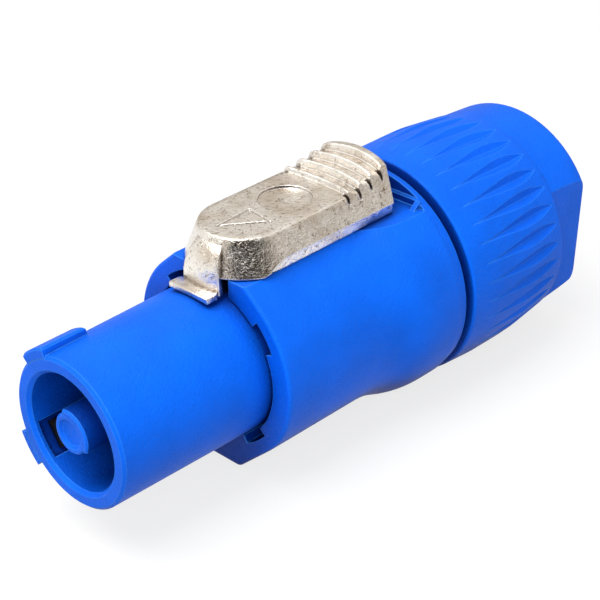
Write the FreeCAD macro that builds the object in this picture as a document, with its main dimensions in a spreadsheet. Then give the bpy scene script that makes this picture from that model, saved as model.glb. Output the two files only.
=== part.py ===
"""Twist-lock power cable connector.

Frame: X runs along the connector, from the mating face at x = 0 to the cable end.
+Z points up through the latch. The origin is the centre of the mating face.
"""

import FreeCAD, Part
import math
import os
from types import SimpleNamespace

import Sketcher
from FreeCAD import Placement, Rotation, Vector

# Driving sizes in millimetres and degrees
# Angles about the connector's axis count from +Z towards -Y
SIZES = {
    # contact carrier: mating barrel, centre post and terminal chambers
    "barrel_radius": 9.6,
    "nose_radius": 9.35,
    "draft_length": 20.0,
    "bore_radius": 7.3,
    "bore_depth": 16.0,
    "barrel_edge_bevel": 0.35,
    "bore_edge_bevel": 0.45,
    "post_radius": 2.55,
    "post_key_radius": 3.0,
    "post_key_angle": 50.0,
    "post_key_span": 138.0,
    "post_dish_radius": 1.9,
    "post_dish_depth": 0.35,
    "lug_radius": 10.35,
    "lug_length": 6.2,
    "lug_span": 25.0,
    "upper_lug_angle": -32.0,
    "lower_lug_angle": -124.5,
    "lug_bevel": 0.25,
    "collar_start": 40.0,
    "collar_radius": 10.85,
    "carrier_length": 44.0,
    "slot_start": 0.9,
    "slot_radius": 8.2,
    "slot_span": 36.0,
    "first_contact_angle": -123.0,
    "chamber_start": 21.0,
    "chamber_inner": 3.2,
    "chamber_outer": 8.2,
    "chamber_width": 5.2,
    "access_hole_radius": 1.8,
    # contacts with their screw terminals
    "blade_start": 2.4,
    "blade_width": 3.4,
    "blade_thickness": 0.6,
    "blade_radius": 7.85,
    "blade_bow": 0.75,
    "terminal_end": 35.0,
    "terminal_width": 4.8,
    "terminal_gap": 0.2,
    "screw_station": 29.5,
    "screw_radius": 1.2,
    "screw_length": 3.4,
    "screw_gap": 0.05,
    "screw_slot": 0.5,
    "wire_hole_radius": 1.45,
    "wire_hole_depth": 11.0,
    "clamp_thickness": 0.45,
    "clamp_length": 6.5,
    "clamp_width": 1.9,
    # housing
    "skirt_start": 21.6,
    "mouth_radius": 10.05,
    "mouth_depth": 3.4,
    "sleeve_gap": 0.15,
    "body_radius": 12.85,
    "keel_rise": 1.35,
    "keel_half_width": 3.3,
    "keel_round": 1.2,
    "keel_end": 46.0,
    "skirt_round": 0.45,
    "flare_start": 36.5,
    "flare_end": 46.5,
    "rim_radius": 14.65,
    "rim_chamfer_start": 49.0,
    "rim_chamfer": 0.3,
    "rim_end": 50.6,
    "neck_radius": 12.55,
    "neck_end": 60.0,
    "neck_bore": 11.0,
    "notch_radius": 11.1,
    "notch_span": 21.0,
    "notch_depth": 3.0,
    "first_notch_angle": -31.0,
    "notch_spread": 260.0,
    "key_span": 20.0,
    "key_radius": 11.6,
    "keyway_gap": 0.12,
    # latch seat on the housing
    "pad_height": 11.7,
    "pad_end": 49.7,
    "ledge_start": 49.2,
    "ledge_height": 12.6,
    "gusset_offset": 0.13,
    "gusset_thickness": 0.7,
    "gusset_length": 1.3,
    "tongue_slot_half": 3.45,
    "tongue_slot_end": 26.6,
    "rail_start": 35.0,
    "rail_end": 46.0,
    "rail_neck_half": 1.5,
    "rail_neck_height": 1.6,
    "rail_half": 2.6,
    "rail_height": 2.6,
    "latch_gap": 0.12,
    "latch_travel": 1.8,
    # latch
    "latch_top": 16.2,
    "latch_half_width": 5.4,
    "latch_base_half": 6.65,
    "latch_band_top": 13.2,
    "latch_band_inset": 0.35,
    "latch_band_start": 25.0,
    "latch_band_lift": 3.3,
    "nose_front": 22.3,
    "latch_rear": 47.25,
    "latch_rear_bow": 0.45,
    "ridge_start": 39.7,
    "ridge_pitch": 2.1,
    "ridge_rise": 0.55,
    "ridge_hollow": 0.4,
    "ridge_lip": 0.35,
    "ridge_centre": 20.0,
    "tongue_front": 20.0,
    "tongue_half": 2.5,
    "foot_front": 18.5,
    "foot_half": 2.8,
    "foot_bottom": 9.7,
    "foot_thickness": 0.75,
    "latch_roof": 15.0,
    "spring_bay_start": 27.4,
    "spring_bay_half": 3.4,
    "badge_radius": 3.2,
    "badge_station": 34.6,
    "badge_depth": 0.25,
    "arrow_tip": 24.4,
    "arrow_back": 29.6,
    "arrow_half": 2.3,
    "arrow_groove": 0.28,
    # latch spring
    "spring_radius": 1.15,
    "spring_wire": 0.4,
    "spring_turns": 5.0,
    # cable chuck
    "chuck_start": 45.2,
    "chuck_radius": 10.75,
    "chuck_taper_start": 61.6,
    "chuck_end": 69.0,
    "chuck_end_radius": 8.3,
    "chuck_bore": 9.0,
    "chuck_grip_start": 58.0,
    "chuck_grip_radius": 6.2,
    "chuck_key_length": 4.0,
    "chuck_slot_start": 50.5,
    "chuck_slot_width": 1.5,
    "chuck_tooth_depth": 0.5,
    "chuck_tooth_pitch": 3.2,
    # bushing
    "bushing_start": 51.8,
    "bushing_mouth_bevel": 0.3,
    "bushing_radius": 14.8,
    "bushing_swell_start": 56.5,
    "bushing_swell_end": 63.0,
    "bushing_swell_radius": 15.05,
    "grip_end": 69.8,
    "grip_end_radius": 14.25,
    "bushing_end": 77.0,
    "bushing_end_radius": 13.75,
    "bushing_end_round": 0.9,
    "wrench_half": 11.5,
    "thread_gap": 0.2,
    "thread_depth": 61.4,
    "cone_gap": 0.2,
    "cable_radius": 7.5,
    "cable_edge_bevel": 0.6,
    "flute_start": 49.5,
    "flute_belly": 65.2,
    "flute_end": 70.4,
    "flute_count": 36.0,
    "flute_radius": 1.15,
    "flute_lift": 0.35,
    "bushing_turn": 4.0,
}


class Size:
    """A number that also carries the spreadsheet expression it comes from."""

    def __init__(self, value, text):
        self.value = value
        self.text = text

    def __add__(self, other):
        other = as_size(other)
        return Size(self.value + other.value, f"({self.text} + {other.text})")

    def __sub__(self, other):
        other = as_size(other)
        return Size(self.value - other.value, f"({self.text} - {other.text})")

    def __mul__(self, other):
        other = as_size(other)
        return Size(self.value * other.value, f"({self.text} * {other.text})")

    def __truediv__(self, other):
        other = as_size(other)
        return Size(self.value / other.value, f"({self.text} / {other.text})")

    def __neg__(self):
        return Size(-self.value, f"(0 - {self.text})")

    def __radd__(self, other):
        return as_size(other) + self

    def __rsub__(self, other):
        return as_size(other) - self

    def __rmul__(self, other):
        return as_size(other) * self


def as_size(number):
    """Return the number as a Size; plain numbers become their own expression."""
    if isinstance(number, Size):
        return number
    return Size(float(number), repr(float(number)))


def sine(angle):
    angle = as_size(angle)
    return Size(math.sin(math.radians(angle.value)), f"sin({angle.text})")


def cosine(angle):
    angle = as_size(angle)
    return Size(math.cos(math.radians(angle.value)), f"cos({angle.text})")


def root(number):
    return Size(math.sqrt(number.value), f"sqrt({number.text})")


doc = FreeCAD.newDocument("PowerConnector")
sheet = doc.addObject("Spreadsheet::Sheet", "Sizes")
for row, (name, number) in enumerate(SIZES.items(), start=1):
    sheet.set(f"A{row}", name.replace("_", " "))
    sheet.set(f"B{row}", str(number))
    sheet.setAlias(f"B{row}", name)
doc.recompute()
s = SimpleNamespace(**{name: Size(number, f"Sizes.{name}") for name, number in SIZES.items()})


# Sketch and feature helpers

def bind(thing, field, size):
    """Set a property from a Size and tie it to the sheet."""
    size = as_size(size)
    thing.setExpression(field, size.text)


def new_body(name):
    body = doc.addObject("PartDesign::Body", name)
    body.Label = name
    body.Placement = Placement()
    return body


def origin_item(body, role):
    return next(item for item in body.Origin.OriginFeatures if item.Role == role)


def new_sketch(body, name, plane, height=None, turn=None):
    """Sketch on an origin plane, lifted along its normal or turned about its X axis."""
    sketch = body.newObject("Sketcher::SketchObject", name)
    sketch.AttachmentSupport = [(origin_item(body, plane), "")]
    sketch.MapMode = "FlatFace"
    if height is not None:
        bind(sketch, "AttachmentOffset.Base.z", height)
    if turn is not None:
        sketch.AttachmentOffset = Placement(Vector(), Rotation(Vector(1, 0, 0), as_size(turn).value))
        bind(sketch, "AttachmentOffset.Rotation.Angle", turn)
    return sketch


def hold_point(sketch, edge, end, x, y):
    """Place one end of an edge by its distances from the sketch's axes."""
    for kind, size, axis in (("DistanceX", as_size(x), -2), ("DistanceY", as_size(y), -1)):
        if size.text == "0.0":
            sketch.addConstraint(Sketcher.Constraint("PointOnObject", edge, end, axis))
            continue
        index = sketch.addConstraint(Sketcher.Constraint(kind, -1, 1, edge, end, size.value))
        sketch.setExpression(f"Constraints[{index}]", size.text)


def arc_between(start, end, radius):
    """Arc from start to end; a positive radius bulges to the right of the way there."""
    middle = (start + end) * 0.5
    half = (end - start) * 0.5
    left = Vector(-half.y, half.x, 0).normalize()
    reach = math.sqrt(radius * radius - half.Length ** 2)
    centre = middle + left * (reach if radius > 0 else -reach)
    circle = Part.Circle(centre, Vector(0, 0, 1), abs(radius))
    first, last = circle.parameter(start), circle.parameter(end)
    if radius > 0:
        return Part.ArcOfCircle(circle, first, last), 1, 2
    return Part.ArcOfCircle(circle, last, first), 2, 1


def draw_loop(sketch, corners):
    """Closed outline through the corners; a third entry rounds the edge that leads there."""
    count = len(corners)
    ends = []
    for index, corner in enumerate(corners):
        following = corners[(index + 1) % count]
        start = Vector(as_size(corner[0]).value, as_size(corner[1]).value, 0)
        end = Vector(as_size(following[0]).value, as_size(following[1]).value, 0)
        if len(following) == 3:
            radius = as_size(following[2])
            arc, first, last = arc_between(start, end, radius.value)
            edge = sketch.addGeometry(arc)
            mark = sketch.addConstraint(Sketcher.Constraint("Radius", edge, abs(radius.value)))
            sketch.setExpression(f"Constraints[{mark}]", f"abs({radius.text})")
        else:
            edge = sketch.addGeometry(Part.LineSegment(start, end))
            first, last = 1, 2
        ends.append((edge, first, last))
    for index, (edge, first, last) in enumerate(ends):
        next_edge, next_first, _ = ends[(index + 1) % count]
        sketch.addConstraint(Sketcher.Constraint("Coincident", edge, last, next_edge, next_first))
        hold_point(sketch, edge, first, corners[index][0], corners[index][1])


def draw_circle(sketch, x, y, radius):
    x, y, radius = as_size(x), as_size(y), as_size(radius)
    edge = sketch.addGeometry(Part.Circle(Vector(x.value, y.value, 0), Vector(0, 0, 1), radius.value))
    mark = sketch.addConstraint(Sketcher.Constraint("Radius", edge, radius.value))
    sketch.setExpression(f"Constraints[{mark}]", radius.text)
    hold_point(sketch, edge, 3, x, y)


def turn_profile(body, name, corners, cut=False, turn=None, span=None):
    """Revolve an outline of (station, radius) corners about the connector's axis."""
    sketch = new_sketch(body, name + "_outline", "XZ_Plane", turn=turn)
    draw_loop(sketch, corners)
    kind = "PartDesign::Groove" if cut else "PartDesign::Revolution"
    feature = body.newObject(kind, name)
    feature.Profile = sketch
    feature.ReferenceAxis = (sketch, ["H_Axis"])
    if span is None:
        feature.Angle = 360
    else:
        feature.Midplane = True
        bind(feature, "Angle", span)
    doc.recompute()
    return feature


def sector(body, name, start, end, inner, outer, angle, span, cut=False):
    """Ring sector between two stations and two radii, about an angle from +Z towards -Y."""
    corners = [(start, inner), (end, inner), (end, outer), (start, outer)]
    return turn_profile(body, name, corners, cut=cut, turn=angle, span=span)


def extrude(body, name, plane, corners, length, height=None, cut=False, reverse=False,
            middle=False, both_through=False):
    """Pad or pocket of a closed outline on an origin plane."""
    sketch = new_sketch(body, name + "_outline", plane, height=height)
    draw_loop(sketch, corners)
    return extrude_sketch(body, name, sketch, length, cut, reverse, middle, both_through)


def extrude_sketch(body, name, sketch, length, cut=False, reverse=False, middle=False,
                   both_through=False):
    feature = body.newObject("PartDesign::Pocket" if cut else "PartDesign::Pad", name)
    feature.Profile = sketch
    feature.Reversed = reverse
    feature.Midplane = middle
    if both_through:
        feature.Type = 1
        feature.Midplane = True
    else:
        bind(feature, "Length", length)
    doc.recompute()
    return feature


def groove_about(body, name, sketch, first, second):
    """Turn the sketch's outline about a line between two points and cut it away."""
    ends = [Vector(as_size(x).value, as_size(y).value, 0) for x, y in (first, second)]
    axis = sketch.addGeometry(Part.LineSegment(*ends), True)
    hold_point(sketch, axis, 1, *first)
    hold_point(sketch, axis, 2, *second)
    feature = body.newObject("PartDesign::Groove", name)
    feature.Profile = sketch
    feature.ReferenceAxis = (sketch, ["Axis0"])
    feature.Angle = 360
    doc.recompute()
    return feature


def dress_edges(body, kind, name, field, size, chosen):
    base = body.Tip
    names = [f"Edge{index}" for index, edge in enumerate(base.Shape.Edges, start=1) if chosen(edge)]
    dressing = body.newObject(kind, name)
    dressing.Base = (base, names)
    bind(dressing, field, size)
    doc.recompute()


def round_edges(body, name, radius, chosen):
    """Fillet the edges of the body's last shape that a test picks."""
    dress_edges(body, "PartDesign::Fillet", name, "Radius", radius, chosen)


def bevel_edges(body, name, size, chosen):
    """Chamfer the edges of the body's last shape that a test picks."""
    dress_edges(body, "PartDesign::Chamfer", name, "Size", size, chosen)


def repeat_about_axis(body, name, features, count, spread=None):
    """Polar pattern about the connector's axis; without a spread it fills the turn."""
    pattern = body.newObject("PartDesign::PolarPattern", name)
    pattern.Originals = features
    pattern.Axis = (origin_item(body, "X_Axis"), [""])
    if spread is None:
        pattern.Angle = 360
    else:
        bind(pattern, "Angle", spread)
    if isinstance(count, Size):
        bind(pattern, "Occurrences", count)
    else:
        pattern.Occurrences = count
    body.Tip = pattern
    doc.recompute()
    return pattern


def ring_at(station, radius, slack=0.01):
    """Test for an arc about the connector's axis at a station and radius."""
    def chosen(edge):
        curve = edge.Curve
        if curve.TypeId != "Part::GeomCircle" or abs(abs(curve.Axis.x) - 1) > 1e-6:
            return False
        return (abs(curve.Center.x - station.value) < slack and abs(curve.Radius - radius.value) < slack
                and math.hypot(curve.Center.y, curve.Center.z) < slack)
    return chosen


CONTACT_NAMES = ("line", "neutral", "earth")
CONTACT_STEP = 120.0
RIDGES = 4
SPRING_SIDES = 4
TOOTH_ROWS = 3


# Contact carrier

def make_carrier():
    body = new_body("contact_carrier")
    turn_profile(body, "barrel", [
        (0, s.bore_radius), (0, s.nose_radius), (s.draft_length, s.barrel_radius),
        (s.collar_start, s.barrel_radius), (s.collar_start, s.collar_radius),
        (s.carrier_length, s.collar_radius), (s.carrier_length, 0), (0, 0), (0, s.post_radius),
        (s.bore_depth, s.post_radius), (s.bore_depth, s.bore_radius)])
    sector(body, "post_key", 0, s.bore_depth, s.post_radius - 0.4, s.post_key_radius,
           s.post_key_angle, s.post_key_span)
    bevel_edges(body, "post_bevels", s.bore_edge_bevel * 0.5, lambda edge: (
        ring_at(as_size(0), s.post_radius)(edge) or ring_at(as_size(0), s.post_key_radius)(edge)))
    turn_profile(body, "post_dish", [
        (-1, 0), (s.post_dish_depth, 0), (s.post_dish_depth, s.post_dish_radius - s.post_dish_depth),
        (0, s.post_dish_radius), (-1, s.post_dish_radius)], cut=True)
    bevel_edges(body, "bore_mouth", s.bore_edge_bevel, ring_at(as_size(0), s.bore_radius))
    bevel_edges(body, "barrel_edge", s.barrel_edge_bevel, ring_at(as_size(0), s.nose_radius))
    for name, angle in (("upper_lug", s.upper_lug_angle), ("lower_lug", s.lower_lug_angle)):
        sector(body, name, 0, s.lug_length, s.barrel_radius - 0.5, s.lug_radius, angle, s.lug_span)
    bevel_edges(body, "lug_bevels", s.lug_bevel, is_lug_edge)
    slot = sector(body, "contact_slot", s.slot_start, s.bore_depth, s.bore_radius - 0.5,
                  s.slot_radius, s.first_contact_angle, s.slot_span, cut=True)
    chamber = cut_chamber(body)
    repeat_about_axis(body, "contact_places", [slot] + chamber, len(CONTACT_NAMES))
    sector(body, "anti_turn_key", s.collar_start, s.carrier_length, s.collar_radius - 0.5,
           s.key_radius, 180, s.key_span)
    return body


def is_lug_edge(edge):
    """True for the outer edges of the two bayonet lugs."""
    return all(abs(math.hypot(end.Y, end.Z) - s.lug_radius.value) < 0.01 for end in edge.Vertexes)


def cut_chamber(body):
    """Terminal chamber, blade passage and screw hole of the first contact."""
    first = s.first_contact_angle

    def rotated(radial, side):
        # +Z turned towards -Y by the contact's angle
        return (-radial * sine(first) + side * cosine(first), radial * cosine(first) + side * sine(first))

    half = s.chamber_width / 2
    outline = [rotated(s.chamber_inner, -half), rotated(s.chamber_inner, half),
               rotated(s.chamber_outer, half), rotated(s.chamber_outer, -half)]
    chamber = extrude(body, "terminal_chamber", "YZ_Plane", outline,
                      s.carrier_length - s.chamber_start, height=s.carrier_length, cut=True)
    reach = s.blade_width / 2 + s.terminal_gap
    low = s.blade_radius - s.blade_thickness - s.terminal_gap
    high = s.blade_radius + s.terminal_gap
    slot = [rotated(low, -reach), rotated(low, reach), rotated(high, reach), rotated(high, -reach)]
    passage = extrude(body, "blade_passage", "YZ_Plane", slot,
                      s.chamber_start - s.bore_depth + 0.5, height=s.chamber_start + 0.1, cut=True)
    sketch = new_sketch(body, "access_hole_outline", "XZ_Plane", turn=first)
    side = s.screw_station + s.access_hole_radius
    inner, outer = s.chamber_inner + 1, s.barrel_radius + 1
    draw_loop(sketch, [(s.screw_station, inner), (side, inner), (side, outer), (s.screw_station, outer)])
    hole = groove_about(body, "access_hole", sketch, (s.screw_station, 0), (s.screw_station, inner))
    return [chamber, passage, hole]


# Contacts and terminals: each is modelled at +Z and turned to its place

def turned_into_place(body, index):
    turn_body(body, s.first_contact_angle + CONTACT_STEP * index)


def turn_body(body, angle):
    body.Placement = Placement(Vector(), Rotation(Vector(1, 0, 0), angle.value))
    bind(body, "Placement.Rotation.Angle", angle)


def make_contact(name, index):
    body = new_body("contact_" + name)
    top, thick, bow = s.blade_radius, s.blade_thickness, s.blade_bow
    start, bend = s.blade_start, s.bore_depth
    crown = (start + bend) / 2 - 1
    extrude(body, "blade", "XZ_Plane", [
        (start, top), (crown, top - bow), (bend, top), (s.chamber_start + 0.5, top),
        (s.chamber_start + 0.5, top - thick), (bend, top - thick),
        (crown, top - bow - thick), (start, top - thick)], s.blade_width, middle=True)
    floor = s.chamber_inner + s.terminal_gap
    roof = s.chamber_outer - s.terminal_gap
    extrude(body, "terminal_block", "XZ_Plane", [
        (s.chamber_start, floor), (s.terminal_end, floor), (s.terminal_end, roof),
        (s.chamber_start, roof)], s.terminal_width, middle=True)
    wire = new_sketch(body, "wire_hole_outline", "YZ_Plane", height=s.terminal_end)
    draw_circle(wire, 0, wire_height(), s.wire_hole_radius)
    extrude_sketch(body, "wire_hole", wire, s.wire_hole_depth, cut=True)
    tap = new_sketch(body, "screw_hole_outline", "XY_Plane", height=roof)
    draw_circle(tap, s.screw_station, 0, s.screw_radius + s.screw_gap)
    extrude_sketch(body, "screw_hole", tap, roof - wire_height(), cut=True)
    turned_into_place(body, index)


def wire_height():
    return s.chamber_inner + s.terminal_gap + s.wire_hole_radius + 0.35


def screw_bottom():
    return wire_height() + s.clamp_thickness + 0.35


def make_clamp(name, index):
    body = new_body("wire_clamp_" + name)
    under = screw_bottom() - s.clamp_thickness
    half = s.clamp_length / 2
    extrude(body, "leaf", "XZ_Plane", [
        (s.screw_station - half, under), (s.screw_station + half - 0.8, under),
        (s.screw_station + half, under + 0.25), (s.screw_station + half, under + 0.25 + s.clamp_thickness),
        (s.screw_station + half - 0.8, screw_bottom()), (s.screw_station - half, screw_bottom())],
        s.clamp_width, middle=True)
    turned_into_place(body, index)


def make_screw(name, index):
    body = new_body("terminal_screw_" + name)
    shank = new_sketch(body, "shank_outline", "XY_Plane", height=screw_bottom())
    draw_circle(shank, s.screw_station, 0, s.screw_radius)
    extrude_sketch(body, "shank", shank, s.screw_length)
    head = screw_bottom() + s.screw_length
    half = s.screw_slot / 2
    extrude(body, "driver_slot", "XZ_Plane", [
        (s.screw_station - half, head - 0.7), (s.screw_station + half, head - 0.7),
        (s.screw_station + half, head + 0.1), (s.screw_station - half, head + 0.1)],
        None, cut=True, both_through=True)
    turned_into_place(body, index)


# Housing

def make_housing():
    body = new_body("housing")
    half_length = (s.flare_end - s.flare_start) / 2
    rise = s.rim_radius - s.body_radius
    bend = (half_length * half_length * 4 + rise * rise) / (rise * 4)
    turn_profile(body, "shell", [
        (s.skirt_start, 0), (s.skirt_start, s.body_radius), (s.flare_start, s.body_radius),
        (s.flare_start + half_length, s.body_radius + rise / 2, bend),
        (s.flare_end, s.rim_radius, -bend), (s.rim_chamfer_start, s.rim_radius),
        (s.rim_end, s.rim_radius - s.rim_chamfer), (s.rim_end, s.neck_radius),
        (s.neck_end, s.neck_radius), (s.neck_end, 0)])
    make_keels(body)
    turn_profile(body, "carrier_bore", [
        (s.skirt_start - 1, 0), (s.skirt_start - 1, s.mouth_radius),
        (s.skirt_start + s.mouth_depth, s.mouth_radius),
        (s.skirt_start + s.mouth_depth, s.barrel_radius + s.sleeve_gap),
        (s.collar_start, s.barrel_radius + s.sleeve_gap), (s.collar_start, s.neck_bore),
        (s.neck_end + 1, s.neck_bore), (s.neck_end + 1, 0)], cut=True)
    make_latch_seat(body)
    notch = sector(body, "skirt_notch", s.skirt_start - 1, s.skirt_start + s.notch_depth,
                   s.mouth_radius - 0.8, s.notch_radius, s.first_notch_angle, s.notch_span, cut=True)
    repeat_about_axis(body, "skirt_notches", [notch], 4, spread=s.notch_spread)
    sector(body, "keyway", s.collar_start, s.neck_end + 1, s.neck_bore - 0.5,
           s.key_radius + s.keyway_gap, 180, s.key_span + 1, cut=True)
    return body


def make_keels(body):
    """Upper and lower keels: a narrow flat with sides that run tangent to the round body."""
    height = s.body_radius + s.keel_rise
    reach = root(s.keel_half_width * s.keel_half_width + height * height)
    inside = s.body_radius - 2.2
    # the side meets the round where the tangent from the keel's corner touches it
    for name, way in (("upper_keel", 1), ("lower_keel", -1)):
        touch_y, touch_z = tangent_touch(reach)
        extrude(body, name, "YZ_Plane", [
            (-s.keel_half_width, height * way), (s.keel_half_width, height * way),
            (touch_y, touch_z * way), (0, inside * way * 0.6), (-touch_y, touch_z * way)],
            s.keel_end - s.skirt_start, height=s.skirt_start)
    round_edges(body, "keel_rounds", s.keel_round, lambda edge: (
        edge.Curve.TypeId == "Part::GeomLine" and edge.BoundBox.XLength > 8
        and abs(abs(edge.Vertexes[0].Z) - height.value) < 0.01))
    round_edges(body, "skirt_edge", s.skirt_round, lambda edge: (
        edge.BoundBox.XMax < s.skirt_start.value + 0.01 and edge.Length > 0.5))


def tangent_touch(reach):
    """Touch point of the tangent from the keel's corner, as sizes tied to the sheet."""
    share = s.body_radius / reach
    side = root(1 - share * share)
    # unit vector to the corner, turned away from Z by the tangent's angle
    corner_y = s.keel_half_width / reach
    corner_z = (s.body_radius + s.keel_rise) / reach
    touch_y = s.body_radius * (corner_y * share + corner_z * side)
    touch_z = s.body_radius * (corner_z * share - corner_y * side)
    return touch_y, touch_z


def make_latch_seat(body):
    """Flat saddle, tongue slot and the T rail that the latch slides on."""
    wide = s.rim_radius + 1
    extrude(body, "saddle", "XY_Plane", [
        (s.skirt_start - 1, -wide), (s.ledge_start, -wide), (s.ledge_start, wide),
        (s.skirt_start - 1, wide)], 6, height=s.pad_height, cut=True, reverse=True)
    extrude(body, "ledge", "XY_Plane", [
        (s.ledge_start - 0.1, -wide), (s.pad_end, -wide), (s.pad_end, wide),
        (s.ledge_start - 0.1, wide)], 6, height=s.ledge_height, cut=True, reverse=True)
    extrude(body, "tongue_slot", "XY_Plane", [
        (s.skirt_start - 1, -s.tongue_slot_half), (s.tongue_slot_end, -s.tongue_slot_half),
        (s.tongue_slot_end, s.tongue_slot_half), (s.skirt_start - 1, s.tongue_slot_half)],
        s.pad_height - s.barrel_radius + 1, height=s.pad_height, cut=True)
    base, neck = s.pad_height - 0.3, s.pad_height + s.rail_neck_height
    top = s.pad_height + s.rail_height
    extrude(body, "latch_rail", "YZ_Plane", [
        (-s.rail_neck_half, base), (s.rail_neck_half, base), (s.rail_neck_half, neck),
        (s.rail_half, neck), (s.rail_half, top), (-s.rail_half, top), (-s.rail_half, neck),
        (-s.rail_neck_half, neck)], s.rail_end - s.rail_start, height=s.rail_start)
    # the gussets stand where the ledge's top runs out into the rim
    shoulder = root(s.rim_radius * s.rim_radius - s.ledge_height * s.ledge_height) + s.gusset_offset
    for name, side in (("left_gusset", shoulder), ("right_gusset", -shoulder)):
        sketch = new_sketch(body, name + "_outline", "XZ_Plane", height=-side - s.gusset_thickness / 2)
        draw_loop(sketch, [
            (s.ledge_start - s.gusset_length, s.pad_height - 0.2),
            (s.ledge_start + 0.2, s.pad_height - 0.2),
            (s.ledge_start + 0.2, s.ledge_height), (s.ledge_start, s.ledge_height)])
        extrude_sketch(body, name, sketch, s.gusset_thickness)


# Latch

def make_latch():
    body = new_body("latch")
    base = s.pad_height + s.latch_gap
    bow = s.nose_front + s.latch_half_width
    half = s.latch_half_width + latch_draft() * (s.latch_top - base)
    far = s.latch_rear + 3
    extrude(body, "block", "XY_Plane", [
        (bow, -half, half), (far, -half), (far, half), (bow, half), (bow - half, 0, half)],
        s.latch_top - base + s.ridge_rise * (RIDGES + 1), height=base)
    draft_latch(body, bow, half, base)
    shape_latch_top(body)
    trim_latch(body)
    hollow_latch(body)
    add_foot(body)
    mark_latch(body)
    return body


def draft_latch(body, bow, half, base):
    """Slope both flanks, and the round nose in front of them, inwards as they rise."""
    above = s.latch_top + s.ridge_rise * (RIDGES + 2)
    upper = half - latch_draft() * (above - base)
    for name, way in (("left_flank", 1), ("right_flank", -1)):
        extrude(body, name, "YZ_Plane", [
            (half * way, base), ((half + 2) * way, base), ((half + 2) * way, above), (upper * way, above)],
            s.latch_rear + 4 - bow, height=s.latch_rear + 4, cut=True)
    sketch = new_sketch(body, "nose_outline", "XZ_Plane")
    draw_loop(sketch, [
        (bow - half, base), (bow - upper, above), (bow - half - 2, above), (bow - half - 2, base)])
    nose = groove_about(body, "nose", sketch, (bow, base), (bow, above))
    nose.Midplane = True
    nose.Angle = 180
    doc.recompute()


def latch_draft():
    """Slope of the latch's flanks, as a share of their height."""
    return (s.latch_base_half - s.latch_half_width) / (s.latch_top - s.latch_band_top)


def shape_latch_top(body):
    """Flat top and thumb ridges, turned about an upright line so that the crests bow rearwards."""
    bend = s.ridge_pitch * 1.2
    above = s.latch_top + s.ridge_rise * (RIDGES + 2)
    corners = [(s.ridge_centre, above), (s.ridge_centre, s.latch_top), (s.ridge_start, s.latch_top)]
    for step in range(RIDGES):
        valley = s.ridge_start + s.ridge_pitch * step
        crest = s.latch_top + s.ridge_rise * (step + 1)
        if step > 0:
            corners.append((valley, crest - s.ridge_rise - s.ridge_hollow, bend))
        corners.append((valley + s.ridge_lip, crest))
    corners.append((s.latch_rear + 4, s.latch_top + s.ridge_rise * RIDGES))
    corners.append((s.latch_rear + 4, above))
    sketch = new_sketch(body, "top_outline", "XZ_Plane")
    draw_loop(sketch, corners)
    groove_about(body, "top", sketch, (s.ridge_centre, s.latch_top), (s.ridge_centre, above))


def trim_latch(body):
    """Bowed rear face, and the undercut band along the foot of each flank."""
    base = s.pad_height + s.latch_gap
    wide = s.latch_base_half + 2
    bend = (wide * wide + s.latch_rear_bow * s.latch_rear_bow) / (s.latch_rear_bow * 2)
    side = s.latch_rear - s.latch_rear_bow
    far = s.latch_rear + 4
    extrude(body, "rear_face", "XY_Plane", [
        (side, -wide, -bend), (far, -wide), (far, wide), (side, wide), (s.latch_rear, 0, -bend)],
        s.latch_top - base + 4, height=base - 1, cut=True, reverse=True)
    rise = s.latch_band_lift
    for name, way in (("left_band", 1), ("right_band", -1)):
        face = (s.latch_base_half - s.latch_band_inset) * way
        sketch = new_sketch(body, name + "_outline", "XZ_Plane", height=-face)
        draw_loop(sketch, [
            (s.latch_band_start, base - 0.5), (far, base - 0.5), (far, s.latch_band_top),
            (s.latch_band_start + rise, s.latch_band_top), (s.latch_band_start, base, rise)])
        extrude_sketch(body, name, sketch, as_size(3), cut=True, reverse=way < 0)


def hollow_latch(body):
    """Slot for the rail, open at the rear, and the bay that holds the spring."""
    neck = s.rail_neck_half + s.latch_gap
    head = s.rail_half + s.latch_gap
    low = s.pad_height - 1
    lip = s.pad_height + s.rail_neck_height - s.latch_gap
    roof = s.pad_height + s.rail_height + s.latch_gap
    run = s.latch_rear - s.rail_start + s.latch_travel + 2
    extrude(body, "rail_slot", "YZ_Plane", [
        (-neck, low), (neck, low), (neck, lip), (head, lip), (head, roof), (-head, roof), (-head, lip),
        (-neck, lip)], run, height=s.latch_rear + 1, cut=True)
    extrude(body, "spring_bay", "XY_Plane", [
        (s.spring_bay_start, -s.spring_bay_half), (s.rail_start + 0.1, -s.spring_bay_half),
        (s.rail_start + 0.1, s.spring_bay_half), (s.spring_bay_start, s.spring_bay_half)],
        s.latch_roof - low, height=low, cut=True, reverse=True)


def add_foot(body):
    """Tongue in front of the nose and the foot plate that rides over the barrel."""
    foot_top = s.foot_bottom + s.foot_thickness
    extrude(body, "tongue", "XZ_Plane", [
        (s.tongue_front, s.foot_bottom), (s.nose_front + 2, s.foot_bottom),
        (s.nose_front + 2, s.latch_top - 0.4), (s.nose_front + 0.2, s.latch_top - 0.4),
        (s.tongue_front, s.latch_top - 3.6, -6)], s.tongue_half * 2, middle=True)
    extrude(body, "foot", "XY_Plane", [
        (s.foot_front, -s.foot_half), (s.tongue_front + 0.6, -s.foot_half),
        (s.nose_front + 0.4, -s.tongue_half), (s.nose_front + 0.4, s.tongue_half),
        (s.tongue_front + 0.6, s.foot_half), (s.foot_front, s.foot_half)],
        s.foot_thickness, height=s.foot_bottom)


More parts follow.
